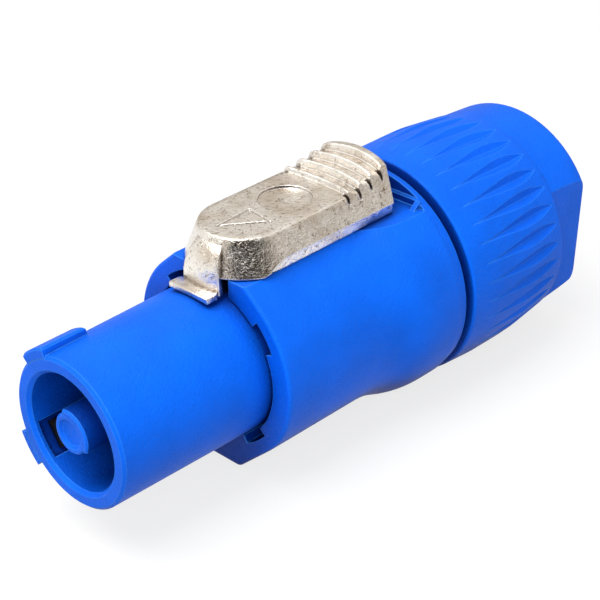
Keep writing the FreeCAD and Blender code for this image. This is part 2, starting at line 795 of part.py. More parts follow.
def mark_latch(body):
    """Shallow round recess and the outline of an arrowhead, both sunk into the flat top."""
    badge = new_sketch(body, "badge_outline", "XY_Plane", height=s.latch_top)
    draw_circle(badge, s.badge_station, 0, s.badge_radius)
    extrude_sketch(body, "badge", badge, s.badge_depth, cut=True)
    groove = s.arrow_groove
    arrow = new_sketch(body, "arrow_outline", "XY_Plane", height=s.latch_top)
    draw_loop(arrow, [(s.arrow_tip, 0), (s.arrow_back, s.arrow_half), (s.arrow_back, -s.arrow_half)])
    draw_loop(arrow, [
        (s.arrow_tip + groove * 2.4, 0), (s.arrow_back - groove, s.arrow_half - groove * 1.6),
        (s.arrow_back - groove, -s.arrow_half + groove * 1.6)])
    extrude_sketch(body, "arrow", arrow, s.badge_depth, cut=True)


def make_latch_spring():
    """Coil spring between the latch's bay and the front of the rail."""
    length = s.rail_start - s.spring_bay_start
    wire = s.spring_wire.value
    pitch = (length.value - wire) / s.spring_turns.value
    radius = s.spring_radius.value
    helix = Part.makeHelix(pitch, length.value - wire, radius)
    corners = [Vector(radius + wire / 2 * math.cos(turn), 0, wire / 2 * math.sin(turn))
               for turn in (math.pi * 2 * side / SPRING_SIDES for side in range(SPRING_SIDES + 1))]
    section = Part.makePolygon(corners)
    coil = Part.Wire(helix.Edges).makePipeShell([section], True, True)
    spring = doc.addObject("Part::Feature", "latch_spring")
    spring.Label = "latch_spring"
    spring.Shape = coil
    height = s.pad_height.value + s.latch_gap.value + radius + wire / 2
    spring.Placement = Placement(Vector(s.spring_bay_start.value + wire / 2, 0, height),
                                 Rotation(Vector(0, 1, 0), 90))
    return spring


# Cable chuck

def make_chuck():
    body = new_body("cable_chuck")
    turn_profile(body, "collet", [
        (s.chuck_start, s.chuck_bore), (s.chuck_start, s.chuck_radius),
        (s.chuck_taper_start, s.chuck_radius), (s.chuck_end, s.chuck_end_radius),
        (s.chuck_end, s.chuck_grip_radius), (s.chuck_grip_start, s.chuck_grip_radius),
        (s.chuck_grip_start - 2, s.chuck_bore)])
    tooth = turn_profile(body, "tooth_groove", [
        (s.chuck_grip_start + 0.8, s.chuck_grip_radius - 0.2),
        (s.chuck_grip_start + 1.8, s.chuck_grip_radius - 0.2),
        (s.chuck_grip_start + 1.3, s.chuck_grip_radius + s.chuck_tooth_depth)], cut=True)
    rows = body.newObject("PartDesign::LinearPattern", "tooth_rows")
    rows.Originals = [tooth]
    rows.Direction = (origin_item(body, "X_Axis"), [""])
    rows.Occurrences = TOOTH_ROWS
    bind(rows, "Length", s.chuck_tooth_pitch * (TOOTH_ROWS - 1))
    body.Tip = rows
    doc.recompute()
    sector(body, "chuck_key", s.chuck_start, s.chuck_start + s.chuck_key_length,
           s.chuck_radius - 0.5, s.key_radius, 180, s.key_span)
    half = s.chuck_slot_width / 2
    slot = extrude(body, "finger_slot", "XY_Plane", [
        (s.chuck_slot_start, -half), (s.chuck_end + 1, -half), (s.chuck_end + 1, half),
        (s.chuck_slot_start, half)], None, cut=True, both_through=True)
    repeat_about_axis(body, "finger_slots", [slot], 3, spread=as_size(120))
    return body


# Bushing

def make_bushing():
    body = new_body("bushing")
    neck = s.neck_radius + s.thread_gap
    mouth = s.bushing_start
    throat = s.chuck_end + 1
    sleeve = s.chuck_radius + s.cone_gap
    tip = s.chuck_end_radius + s.cone_gap
    turn_profile(body, "nut", [
        (mouth, neck), (mouth, s.bushing_radius), (s.bushing_swell_start, s.bushing_swell_radius),
        (s.bushing_swell_end, s.bushing_swell_radius), (s.grip_end, s.grip_end_radius),
        (s.bushing_end, s.bushing_end_radius),
        (s.bushing_end, s.cable_radius), (throat, s.cable_radius), (throat, tip),
        (s.chuck_end, tip), (s.chuck_taper_start, sleeve), (s.thread_depth, sleeve),
        (s.thread_depth, neck)])
    round_edges(body, "end_round", s.bushing_end_round, ring_at(s.bushing_end, s.bushing_end_radius))
    bevel_edges(body, "mouth_bevel", s.bushing_mouth_bevel, ring_at(mouth, s.bushing_radius))
    bevel_edges(body, "cable_mouth", s.cable_edge_bevel, ring_at(s.bushing_end, s.cable_radius))
    flute = cut_flute(body)
    repeat_about_axis(body, "flutes", [flute], s.flute_count)
    wide = s.bushing_radius + 2
    for name, way in (("left_flat", 1), ("right_flat", -1)):
        extrude(body, name, "YZ_Plane", [
            (s.wrench_half * way, -wide), (wide * way, -wide), (wide * way, wide),
            (s.wrench_half * way, wide)], s.bushing_end - s.grip_end + 1,
            height=s.bushing_end + 1, cut=True)
    turn_body(body, s.bushing_turn)
    return body


def cut_flute(body):
    """Slender flute with flat sides: deepest at the belly, pointed at both ends."""
    front = s.bushing_swell_radius + s.flute_lift
    back = s.grip_end_radius + s.flute_lift
    share = (s.flute_belly - s.flute_start) / (s.flute_end - s.flute_start)
    belly = front - (front - back) * share - s.flute_radius
    top = s.bushing_swell_radius + 1
    sketches = []
    for station, valley in ((s.flute_start, front), (s.flute_belly, belly), (s.flute_end, back)):
        sketch = new_sketch(body, "flute_outline", "YZ_Plane", height=station)
        half = top - valley
        draw_loop(sketch, [(0, valley), (half, top), (-half, top)])
        sketches.append(sketch)
    flute = body.newObject("PartDesign::SubtractiveLoft", "flute")
    flute.Profile = sketches[0]
    flute.Sections = sketches[1:]
    flute.Ruled = True
    doc.recompute()
    return flute


make_carrier()
for place, contact_name in enumerate(CONTACT_NAMES):
    make_contact(contact_name, place)
    make_clamp(contact_name, place)
    make_screw(contact_name, place)
make_housing()
make_latch()
make_latch_spring()
make_chuck()
make_bushing()
doc.recompute()


# Check every object, then write one file per sub-part

def write_parts():
    for item in doc.Objects:
        faults = [word for word in item.State if word in ("Invalid", "Error")]
        if faults:
            raise RuntimeError(f"{item.Name} is {faults[0]}")
    os.makedirs("parts", exist_ok=True)
    for item in doc.Objects:
        is_part = item.TypeId == "PartDesign::Body" or item.Label == "latch_spring"
        if not is_part:
            continue
        if item.Shape.isNull() or not item.Shape.isValid():
            raise RuntimeError(f"{item.Label} has no valid shape")
        item.Shape.exportStep(f"parts/{item.Label}.step")
        print(item.Label, round(item.Shape.Volume, 1), len(item.Shape.Solids), len(item.Shape.Faces))


write_parts()
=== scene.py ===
"""Twist-lock power cable connector: finishes, moulded details, stage and camera.

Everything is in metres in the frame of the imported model: X runs from the mating face to the
cable end and +Z points up through the latch.
"""

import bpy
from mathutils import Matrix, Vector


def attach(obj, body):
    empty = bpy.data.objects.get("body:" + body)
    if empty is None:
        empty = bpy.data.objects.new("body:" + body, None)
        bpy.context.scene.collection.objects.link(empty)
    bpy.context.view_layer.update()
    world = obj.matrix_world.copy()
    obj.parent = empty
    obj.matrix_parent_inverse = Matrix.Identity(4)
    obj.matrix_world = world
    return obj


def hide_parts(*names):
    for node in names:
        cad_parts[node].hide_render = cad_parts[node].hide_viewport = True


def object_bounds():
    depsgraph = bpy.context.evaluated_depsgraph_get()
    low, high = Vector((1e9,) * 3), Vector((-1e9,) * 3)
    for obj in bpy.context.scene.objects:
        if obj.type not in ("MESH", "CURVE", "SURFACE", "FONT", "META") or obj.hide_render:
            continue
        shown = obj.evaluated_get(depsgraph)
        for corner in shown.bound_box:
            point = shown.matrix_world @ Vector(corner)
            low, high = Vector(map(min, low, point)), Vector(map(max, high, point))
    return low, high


bl_info = {
    "name": "Twist-lock power connector",
    "version": (1, 0, 0),
    "blender": (4, 5, 0),
    "location": "3D View > Sidebar > Connector",
    "description": "Dresses the packed connector with its finishes, grip, thread and studio stage",
    "category": "Object",
}

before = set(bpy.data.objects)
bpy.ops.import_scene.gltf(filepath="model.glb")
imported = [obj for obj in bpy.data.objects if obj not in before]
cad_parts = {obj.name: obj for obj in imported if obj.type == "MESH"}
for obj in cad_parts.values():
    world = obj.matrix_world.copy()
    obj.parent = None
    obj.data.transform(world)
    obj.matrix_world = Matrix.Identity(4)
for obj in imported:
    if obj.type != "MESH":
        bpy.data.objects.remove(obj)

import math

import bmesh
import bpy
from bpy.props import FloatProperty, FloatVectorProperty, IntProperty, PointerProperty
from mathutils import Matrix, Vector

MM = 0.001
CAD_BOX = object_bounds()

# The pieces are measured in millimetres and degrees: stations run along the connector, and
# radii, heights and half widths are taken from its axis.

# Steps in the arc of a rounded corner, and the distance in metres within which points are one
ARC_STEPS = 6
MERGE_DISTANCE = 1e-6

# Neck and its thread: half widths of the ridge at crest, foot and buried edge
NECK_START = 50.6
NECK_END = 60.0
NECK_RADIUS = 12.55
THREAD_MARGIN = 0.6
THREAD_CREST = 0.22
THREAD_FOOT = 0.5
THREAD_BURIED = 0.55
THREAD_DEPTH = 0.3
THREAD_STEPS = 72
THREAD_FADE = 18
THREAD_SHARP = 35

# Bushing: its turn around the axis, and outlines of (station, radius, rounding) corners
BUSHING_START = 51.8
GRIP_END = 69.8
BUSHING_END = 77.0
BUSHING_TURN = 4.0
END_START = GRIP_END - 0.4
GRIP_OUTLINE = (
    (BUSHING_START, 12.75, 0.15), (BUSHING_START, 14.75, 0.4), (56.5, 15.05, 20.0),
    (63.0, 15.05, 22.0), (GRIP_END, 14.33, 0.22), (GRIP_END, 8.5, 0), (69.0, 8.5, 0),
    (61.6, 10.95, 0), (61.4, 10.95, 0), (61.4, 12.75, 0))
END_OUTLINE = (
    (END_START, 9.0, 0), (END_START, 14.13, 0), (72.0, 14.08, 0), (75.0, 13.9, 0),
    (BUSHING_END, 13.75, 0.9), (BUSHING_END, 7.5, 0.8), (70.0, 7.5, 0), (70.0, 9.0, 0))
GRIP_SHARP = 24
END_SHARP = 30

# Flutes: everything beyond the skin's radius is fluted; a lean above 1 puts the widest place
# towards the rear, a fullness below 1 rounds the outline, a section of 1 would be a plain V.
# Plain rows have the same columns, spaced as for flutes of the plain half width
SKIN_RADIUS = 13.5
SKIN_STEP = 0.3
FLUTE_START = 53.4
FLUTE_END = 69.0
FLUTE_LEAN = 1.9
FLUTE_FULLNESS = 0.85
FLUTE_SECTION = 1.35
FLUTE_LEAST = 0.03
FLUTE_COLUMNS = 8
RIB_COLUMNS = 4
PLAIN_HALF = 0.5

# Rear end: columns of points on a flat and on a round side, and the cosine and the angle of a
# flat's corner where the flat would vanish
FLAT_COLUMNS = 14
ROUND_COLUMNS = 26
CORNER_COSINE = 0.9999
PLAIN_CORNER = 32

# Latch body: the nose is a drafted round about its centre, the flanks end at the band, and the
# crests of the thumb ridges bow forward and drop towards their ends
LATCH_BASE = 11.82
LATCH_TOP = 16.2
LATCH_HALF = 5.4
LATCH_BASE_HALF = 6.65
BAND_TOP = 13.2
LATCH_DRAFT = (LATCH_BASE_HALF - LATCH_HALF) / (LATCH_TOP - BAND_TOP)
LATCH_SHARP = 32
NOSE_CENTRE = 27.7
NOSE_STEPS = 28
LATCH_REAR = 47.25
REAR_ROUND = 0.08
BAND_INSET = 0.35
BAND_RISE = 3.3
BAND_RISE_END = 28.3
BAND_LEAST = 0.06
BAND_LIP = 0.03
CREST_BOW = 0.8
CREST_BOW_CURVE = 1.5
CREST_CROWN = 0.55

# Columns of the latch body: steps across the top and down the flank, the (outward, down) points
# that round the top edge, and the rounding at the base
TOP_LENGTH_STEPS = 10
TOP_WIDTH_STEPS = 8
TOP_INSET = 0.18
TOP_ROUND = ((-0.06, 0.035), (0.01, 0.12))
FLANK_DROP = 0.2
FLANK_STEPS = 6
BASE_ROUND_UP = 0.01
BASE_ROUND_IN = 0.06
BASE_SHARES = (0.66, 0.33, 0.0)

# Thumb ridges: (behind the valley, above the crest) points of a ridge's front face
RIDGES = 4
RIDGE_START = 39.7
RIDGE_PITCH = 2.1
RIDGE_RISE = 0.55
RIDGE_HOLLOW = 0.4
RIDGE_SAG = 0.16
RIDGE_STEPS = 6
RIDGE_FACE = ((0.16, -0.40), (0.25, -0.10), (0.38, 0.0), (0.55, 0.0))

# Cuts in the latch: the round recess, the arrowhead's grooves, the slits at the ends of the
# valleys, and the rail slot, its undercut and the spring bay from below
RECESS_STATION = 34.35
RECESS_RADIUS = 3.2
RECESS_DEPTH = 0.34
RECESS_DRAFT = 0.22
RECESS_STEPS = 64
CUT_ABOVE = 0.3
ARROW_CORNERS = ((24.3, 0.75), (29.5, 1.05), (28.95, -2.95))
GROOVE_HALF = 0.17
GROOVE_DEPTH = 0.26
GROOVE_WIDEN = 2.5
GROOVE_ABOVE = 1.5
SLIT_AHEAD = 0.22
SLIT_BEHIND = 0.2
SLIT_INWARD = 0.8
SLIT_OUTWARD = 0.9
SLIT_DEPTH = 1.0
UNDER_BASE = LATCH_BASE - 1
INNER_CUTS = (
    # start, end, half width, floor, roof
    (32.2, 48.5, 1.62, UNDER_BASE, 13.4),
    (32.2, 48.5, 2.72, 13.18, 14.42),
    (27.2, 35.2, 3.45, UNDER_BASE, 15.05))

# Tongue: (station, height, half width) rows from foot to top edge, and its rear floor corner
TONGUE_ROWS = (
    (20.1, 9.7, 3.05), (20.1, 10.6, 3.05), (20.15, 11.6, 3.0), (20.4, 12.8, 2.85),
    (20.85, 13.9, 2.58), (21.35, 14.7, 2.28), (21.85, 15.3, 2.0), (22.5, 15.7, 1.75),
    (23.9, 15.8, 1.6))
TONGUE_STEPS = 10
TONGUE_CROWN = 0.4
TONGUE_REAR = (24.2, 2.4, 9.7)
TONGUE_BEVEL = 0.12

# Foot of the tongue: (station, half width) points of one side
FOOT_SIDE = ((18.45, 3.25), (20.0, 3.25), (20.7, 2.75), (22.6, 2.4))
FOOT_LOW = 9.72
FOOT_HIGH = 10.45
FOOT_BEVEL = 0.1

BEVEL_SHARP = 35
BEVEL_SEGMENTS = 3

# Colours that no setting changes
WHITE = (1.0, 1.0, 1.0, 1.0)
# Painted highlight along the blue shells' edges
BLUE_EDGE_HIGHLIGHT = (0.05, 0.31, 1.0, 1.0)
# Painted shade in the blue shells' narrow hollows
BLUE_HOLLOW_SHADE = (0.0, 0.014, 0.18, 1.0)
CAST_TAN = (0.66, 0.56, 0.45, 1.0)
CAST_LOW = (0.34, 0.27, 0.205, 1.0)
CAST_PIT = (0.16, 0.12, 0.09, 1.0)
# Painted shade in the casting's narrow hollows
CAST_HOLLOW_SHADE = (0.20, 0.13, 0.085, 1.0)
# Painted highlight along the casting's edges
CAST_EDGE_HIGHLIGHT = (0.99, 0.97, 0.94, 1.0)
CHUCK_DARK = (0.46, 0.47, 0.48, 1.0)
CHUCK_PALE = (0.54, 0.55, 0.56, 1.0)
BRASS = (0.72, 0.52, 0.22)
BRASS_ROUGHNESS = 0.28
STEEL = (0.60, 0.60, 0.61)
STEEL_ROUGHNESS = 0.25

# Finishes, in metres: the reach within which a hollow counts as narrow, the rounding of an
# edge and the depth of a skin; after them shares and values between 0 and 1
PLASTIC_REACH = 0.011
CAST_REACH = 0.0011
METAL_REACH = 0.012
METAL_EDGE = 0.00008
METAL_SKIN = 0.00001
CHUCK_SKIN = 0.00002
BLUE_PATCH_SHARE = 0.86
# Strength of the painted highlight along the blue shells' edges
BLUE_EDGE_HIGHLIGHT_SHARE = 0.85
BLUE_SPECULAR = 0.14
CAST_PIT_SHARE = 0.8
METAL_DULL_SHARE = 0.7
# Darkness and strength of the painted shade in the metals' narrow hollows
METAL_SHADE_SHARE = 0.12
METAL_HOLLOW_SHADE_SHARE = 0.9
METAL_ROUGHNESS_SPAN = 0.12

# Stage, in metres: softboxes by direction from the centre, distance and size
FLOOR_HALF = 3.0
FLOOR_SHARE = 0.30
FLOOR_GLOW = 0.74
STAGE_CENTRE = (0.0385, 0.0, 0.0)
KEY_BOX = ((-0.42, 0.06, 1.0), 0.45, (0.34, 0.30))
FILL_BOX = ((-0.75, -0.8, 0.5), 0.55, (0.30, 0.30))

# World: its strength as light, the colours that metal mirrors near the floor and overhead, and
# zones of (direction, where the zone starts, where it is full, colour)
WORLD_STRENGTH = 0.46
WORLD_LOW = (0.36, 0.31, 0.26, 1.0)
WORLD_HIGH = (1.0, 0.98, 0.95, 1.0)
WORLD_ZONES = (
    ((-0.70, -0.70, 0.16), 0.42, 0.76, (0.02, 0.014, 0.010, 1.0)),
    ((-0.79, 0.60, 0.16), 0.66, 0.86, (1.0, 0.99, 0.97, 1.0)))

# Camera: angles in degrees, places in metres, focal length and picture in pixels
CAMERA_TURN = -43.908
CAMERA_RISE = 29.967
CAMERA_ROLL = -2.245
CAMERA_TARGET = (0.036149, 0.0, 0.001842)
CAMERA_DISTANCE = 0.211548
CAMERA_FOCAL = 1728.157
CAMERA_PICTURE = 600
CAMERA_SENSOR = 36.0
CAMERA_SHIFT = -0.004
CAMERA_CLIP = 0.01


# Meshes

def rounded_line(corners):
    """Outline through (station, radius, rounding) corners, each rounded off by an arc."""
    line = []
    count = len(corners)
    for index, (x, y, rounding) in enumerate(corners):
        here = Vector((x, y))
        if rounding == 0:
            line.append(here)
            continue
        before = (Vector(corners[index - 1][:2]) - here).normalized()
        after = (Vector(corners[(index + 1) % count][:2]) - here).normalized()
        opening = before.angle(after)
        reach = rounding / math.tan(opening / 2)
        centre = here + (before + after).normalized() * (rounding / math.sin(opening / 2))
        first, last = here + before * reach - centre, here + after * reach - centre
        sweep = first.angle_signed(last)
        for step in range(ARC_STEPS + 1):
            turn = -sweep * step / ARC_STEPS
            cos, sin = math.cos(turn), math.sin(turn)
            spoke = Vector((first.x * cos - first.y * sin, first.x * sin + first.y * cos))
            line.append(centre + spoke)
    return line


def around(angle):
    """Unit vector in the YZ plane at an angle from +Z towards -Y."""
    return Vector((0, -math.sin(angle), math.cos(angle)))


def face_mesh(name, points, faces):
    """Mesh from points in metres and faces."""
    mesh = bpy.data.meshes.new(name)
    mesh.from_pydata(points, [], faces)
    mesh.validate()
    mesh.update()
    return mesh


def outward(mesh):
    """Turn every face of a closed mesh to face out."""
    shape = bmesh.new()
    shape.from_mesh(mesh)
    bmesh.ops.recalc_face_normals(shape, faces=shape.faces)
    shape.to_mesh(mesh)
    shape.free()


def loop_faces(columns, first, second):
    """Faces between two rows of points that each close to a loop."""
    faces = []
    for column in range(columns):
        beside = (column + 1) % columns
        faces.append((first * columns + column, first * columns + beside,
                      second * columns + beside, second * columns + column))
    return faces


def ring_mesh(name, rows):
    """Closed surface from rows of points that each run once around the axis."""
    faces = []
    for row in range(len(rows)):
        faces += loop_faces(len(rows[0]), row, (row + 1) % len(rows))
    mesh = face_mesh(name, [point * MM for row in rows for point in row], faces)
    outward(mesh)
    return mesh


def smooth(mesh, degrees):
    """Smooth shading with sharp edges where faces meet at more than an angle."""
    mesh.polygons.foreach_set("use_smooth", [True] * len(mesh.polygons))
    mesh.set_sharp_from_angle(angle=math.radians(degrees))


def new_piece(name, mesh, body, slot):
    """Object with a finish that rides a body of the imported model."""
    piece = bpy.data.objects.new(name, mesh)
    bpy.context.scene.collection.objects.link(piece)
    mesh.materials.append(make_materials()[slot])
    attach(piece, body)
    return piece


# Shader building

class Nodes:
    """Short way to add and join the nodes of one material or group."""

    def __init__(self, tree):
        self.tree = tree

    def add(self, kind, **settings):
        """New node; a setting that starts with in_ is the constant of that input."""
        node = self.tree.nodes.new(kind)
        for field, value in settings.items():
            if field.startswith("in_"):
                node.inputs[field[3:].replace("_", " ")].default_value = value
            else:
                setattr(node, field, value)
        return node

    def join(self, start, end):
        """Link an output to an input."""
        self.tree.links.new(start, end)

    def fill(self, sockets, values):
        """Join an output, or set a constant, for each of a node's inputs."""
        for socket, value in zip(sockets, values):
            if isinstance(value, (int, float, tuple)):
                socket.default_value = value
            else:
                self.join(value, socket)

    def noise(self, place, scale, detail, rough):
        """Even noise between 0 and 1."""
        node = self.add("ShaderNodeTexNoise", in_Scale=scale, in_Detail=detail, in_Roughness=rough)
        self.join(place, node.inputs["Vector"])
        return node.outputs["Fac"]

    def ramp(self, value, low, high, start=0.0, end=1.0):
        """Value that goes from start to end while the given one goes from low to high."""
        node = self.add("ShaderNodeMapRange", clamp=True, in_From_Min=low, in_From_Max=high,
                        in_To_Min=start, in_To_Max=end)
        self.join(value, node.inputs["Value"])
        return node.outputs["Result"]

    def maths(self, operation, first, second):
        """Result of a sum on two values or outputs."""
        node = self.add("ShaderNodeMath", operation=operation)
        self.fill(node.inputs, (first, second))
        return node.outputs["Value"]

    def dot(self, first, second):
        """Cosine between two directions of length 1."""
        node = self.add("ShaderNodeVectorMath", operation="DOT_PRODUCT")
        self.fill(node.inputs, (first, second))
        return node.outputs["Value"]

    def mix(self, share, first, second):
        """First colour at share 0, second colour at share 1."""
        node = self.add("ShaderNodeMix", data_type="RGBA")
        self.fill([socket for socket in node.inputs if socket.enabled], (share, first, second))
        return next(socket for socket in node.outputs if socket.enabled)

    def bump(self, height, depth, strength, normal=None):
        """Normal that a height bends, on top of another normal if there is one."""
        node = self.add("ShaderNodeBump", in_Strength=strength, in_Distance=depth)
        self.join(height, node.inputs["Height"])
        if normal is not None:
            self.join(normal, node.inputs["Normal"])
        return node.outputs["Normal"]

    def group(self, tree, place=None, **values):
        """Outputs of a shared group with its own values."""
        node = self.add("ShaderNodeGroup", node_tree=tree)
        if place is not None:
            self.join(place, node.inputs["Place"])
        for label, value in values.items():
            node.inputs[label].default_value = value
        return node.outputs

    def seen(self):
        """1 for what the camera sees, straight or mirrored or through glass; 0 for light."""
        path = self.add("ShaderNodeLightPath").outputs
        seen = self.maths("MAXIMUM", path["Is Camera Ray"], path["Is Glossy Ray"])
        return self.maths("MAXIMUM", seen, path["Is Transmission Ray"])


def solid(colour, share=1.0):
    """Colour for a socket, darkened to a share of itself."""
    return tuple(channel * share for channel in colour) + (1.0,)


def new_group(name, sockets):
    """Node group with (name, kind, direction) sockets."""
    group = bpy.data.node_groups.new(name, "ShaderNodeTree")
    for label, kind, way in sockets:
        group.interface.new_socket(name=label, in_out=way, socket_type=f"NodeSocket{kind}")
    nodes = Nodes(group)
    return group, nodes, nodes.add("NodeGroupInput").outputs, nodes.add("NodeGroupOutput").inputs


def soft_edge_group():
    """Rounded normal along edges, a mask of the thin line where an edge catches the light, and
    a mask of narrow hollows."""
    group, nodes, inlet, outlet = new_group("soft_edge", (
        ("Radius", "Float", "INPUT"), ("Reach", "Float", "INPUT"), ("Normal", "Vector", "OUTPUT"),
        ("Edge", "Float", "OUTPUT"), ("Hollow", "Float", "OUTPUT")))
    bevel = nodes.add("ShaderNodeBevel", samples=6)
    nodes.join(inlet["Radius"], bevel.inputs["Radius"])
    nodes.join(bevel.outputs["Normal"], outlet["Normal"])
    plain = nodes.add("ShaderNodeNewGeometry").outputs["Normal"]
    turned = nodes.dot(bevel.outputs["Normal"], plain)
    nodes.join(nodes.ramp(turned, low=0.985, high=0.90), outlet["Edge"])
    nearby = nodes.add("ShaderNodeAmbientOcclusion", samples=6)
    nodes.join(inlet["Reach"], nearby.inputs["Distance"])
    nodes.join(nodes.ramp(nearby.outputs["AO"], low=0.92, high=0.40), outlet["Hollow"])
    return group


def moulded_grain_group():
    """Fine spark-eroded grain of a moulded shell, with slow patches of flow."""
    group, nodes, inlet, outlet = new_group("moulded_grain", (
        ("Place", "Vector", "INPUT"), ("Height", "Float", "OUTPUT"), ("Flow", "Float", "OUTPUT")))
    fine = nodes.noise(inlet["Place"], scale=4200.0, detail=3.0, rough=0.6)
    middle = nodes.noise(inlet["Place"], scale=1900.0, detail=2.0, rough=0.5)
    flow = nodes.noise(inlet["Place"], scale=130.0, detail=2.0, rough=0.5)
    fine_share, middle_share = 0.65, 0.35
    nodes.join(nodes.maths("ADD", nodes.maths("MULTIPLY", fine, fine_share),
                           nodes.maths("MULTIPLY", middle, middle_share)), outlet["Height"])
    nodes.join(flow, outlet["Flow"])
    return group


def cast_skin_group():
    """Plated die casting: orange-peel waves, fine pits and short wandering flow lines."""
    group, nodes, inlet, outlet = new_group("cast_skin", (
        ("Place", "Vector", "INPUT"), ("Height", "Float", "OUTPUT"), ("Pits", "Float", "OUTPUT"),
        ("Tint", "Float", "OUTPUT")))
    waves = nodes.noise(inlet["Place"], scale=1300.0, detail=4.0, rough=0.62)
    grains = nodes.noise(inlet["Place"], scale=5200.0, detail=2.0, rough=0.6)
    lines = nodes.noise(inlet["Place"], scale=620.0, detail=3.0, rough=0.55)
    tint = nodes.noise(inlet["Place"], scale=260.0, detail=3.0, rough=0.5)
    middle, wave_share, grain_share, crease_share = 0.5, 0.75, 0.25, 0.12
    crease = nodes.maths("ABSOLUTE", nodes.maths("SUBTRACT", lines, middle), 0.0)
    crease = nodes.ramp(crease, low=0.0, high=0.02)
    height = nodes.maths("ADD", nodes.maths("MULTIPLY", waves, wave_share),
                         nodes.maths("MULTIPLY", grains, grain_share))
    height = nodes.maths("ADD", height, nodes.maths("MULTIPLY", crease, crease_share))
    nodes.join(height, outlet["Height"])
    nodes.join(nodes.ramp(grains, low=0.36, high=0.30), outlet["Pits"])
    nodes.join(tint, outlet["Tint"])
    return group


def new_material(name):
    """Material with its nodes, its shader's inputs and the object's own coordinates."""
    material = bpy.data.materials.new(name)
    material.use_nodes = True
    nodes = Nodes(material.node_tree)
    shader = material.node_tree.nodes["Principled BSDF"].inputs
    return material, nodes, shader, nodes.add("ShaderNodeTexCoord").outputs["Object"]


def blue_plastic(groups, settings):
    """Royal blue moulded nylon: satin grain, with a painted highlight along its edges and painted
    shade in its narrow hollows.
    """
    material, nodes, shader, place = new_material("blue_plastic")
    grain = nodes.group(groups["grain"], place)
    edge = nodes.group(groups["edge"], Radius=settings.edge_radius, Reach=PLASTIC_REACH)
    body = nodes.mix(nodes.ramp(grain["Flow"], low=0.35, high=0.65),
                     solid(settings.colour, BLUE_PATCH_SHARE), solid(settings.colour))
    # Painted shade: the blue darkens to a deep navy in narrow hollows such as the bore
    hollow = nodes.ramp(edge["Hollow"], low=0.36, high=0.9, start=0.0, end=0.94)
    body = nodes.mix(hollow, body, BLUE_HOLLOW_SHADE)
    # Painted highlight: the blue turns paler along the thin line where an edge catches the light
    body = nodes.mix(nodes.maths("MULTIPLY", edge["Edge"], BLUE_EDGE_HIGHLIGHT_SHARE), body, BLUE_EDGE_HIGHLIGHT)
    nodes.join(body, shader["Base Color"])
    height = grain["Height"]
    nodes.join(nodes.ramp(height, low=0.3, high=0.7, start=0.40, end=0.52), shader["Roughness"])
    skin = nodes.bump(height, depth=settings.grain_depth, strength=1.0, normal=edge["Normal"])
    nodes.join(skin, shader["Normal"])
    shader["Specular IOR Level"].default_value = BLUE_SPECULAR
    return material


def latch_metal(groups, settings):
    """Nickel-plated zinc die casting, grainy on its flanks, with a painted highlight along its
    edges and painted shade in its narrow hollows.
    """
    material, nodes, shader, place = new_material("latch_metal")
    skin = nodes.group(groups["cast"], place)
    edge = nodes.group(groups["edge"], Radius=settings.edge_radius, Reach=CAST_REACH)
    height = skin["Height"]
    tint = nodes.ramp(skin["Tint"], low=0.45, high=0.75)
    body = nodes.mix(tint, solid(settings.colour), CAST_TAN)
    body = nodes.mix(nodes.ramp(height, low=0.54, high=0.44, start=0.0, end=0.9), body, CAST_LOW)
    body = nodes.mix(nodes.maths("MULTIPLY", skin["Pits"], CAST_PIT_SHARE), body, CAST_PIT)
    # Painted shade: a dark brown in narrow hollows such as the ridges' valleys, stronger where the
    # skin lies low
    hollow_speckle = nodes.ramp(height, low=0.60, high=0.42, start=0.6, end=1.0)
    body = nodes.mix(nodes.maths("MULTIPLY", edge["Hollow"], hollow_speckle), body, CAST_HOLLOW_SHADE)
    # Painted highlight: the plating turns near white along the thin line where an edge catches the
    # light
    body = nodes.mix(edge["Edge"], body, CAST_EDGE_HIGHLIGHT)
    nodes.join(body, shader["Base Color"])
    nodes.join(nodes.ramp(height, low=0.35, high=0.65, start=0.13, end=0.24), shader["Roughness"])
    grain = nodes.bump(height, depth=settings.grain_depth, strength=1.0, normal=edge["Normal"])
    nodes.join(grain, shader["Normal"])
    shader["Metallic"].default_value = 1.0
    return material


def plain_metal(groups, name, colour, roughness):
    """Stamped or turned metal with a fine worked skin and painted shade in its narrow hollows."""
    material, nodes, shader, place = new_material(name)
    skin = nodes.group(groups["cast"], place)
    edge = nodes.group(groups["edge"], Radius=METAL_EDGE, Reach=METAL_REACH)
    body = nodes.mix(nodes.ramp(skin["Tint"], low=0.4, high=0.7), solid(colour),
                     solid(colour, METAL_DULL_SHARE))
    # Painted shade: the metal darkens to a small share of its colour in narrow hollows, such as
    # around the recessed contacts
    hollow = nodes.maths("MULTIPLY", edge["Hollow"], METAL_HOLLOW_SHADE_SHARE)
    nodes.join(nodes.mix(hollow, body, solid(colour, METAL_SHADE_SHARE)), shader["Base Color"])
    rough = nodes.ramp(skin["Height"], low=0.3, high=0.7, start=roughness,
                       end=roughness + METAL_ROUGHNESS_SPAN)
    nodes.join(rough, shader["Roughness"])
    nodes.join(nodes.bump(skin["Height"], depth=METAL_SKIN, strength=0.4), shader["Normal"])
    shader["Metallic"].default_value = 1.0
    return material


def chuck_plastic(groups):
    """Pale grey engineering plastic of the cable chuck."""
    material, nodes, shader, place = new_material("chuck_plastic")
    grain = nodes.group(groups["grain"], place)
    height = grain["Height"]
    flow = nodes.ramp(grain["Flow"], low=0.3, high=0.7)
    nodes.join(nodes.mix(flow, CHUCK_DARK, CHUCK_PALE), shader["Base Color"])
    nodes.join(nodes.ramp(height, low=0.3, high=0.7, start=0.42, end=0.55), shader["Roughness"])
    nodes.join(nodes.bump(height, depth=CHUCK_SKIN, strength=0.5), shader["Normal"])
    return material


FINISHES = {}


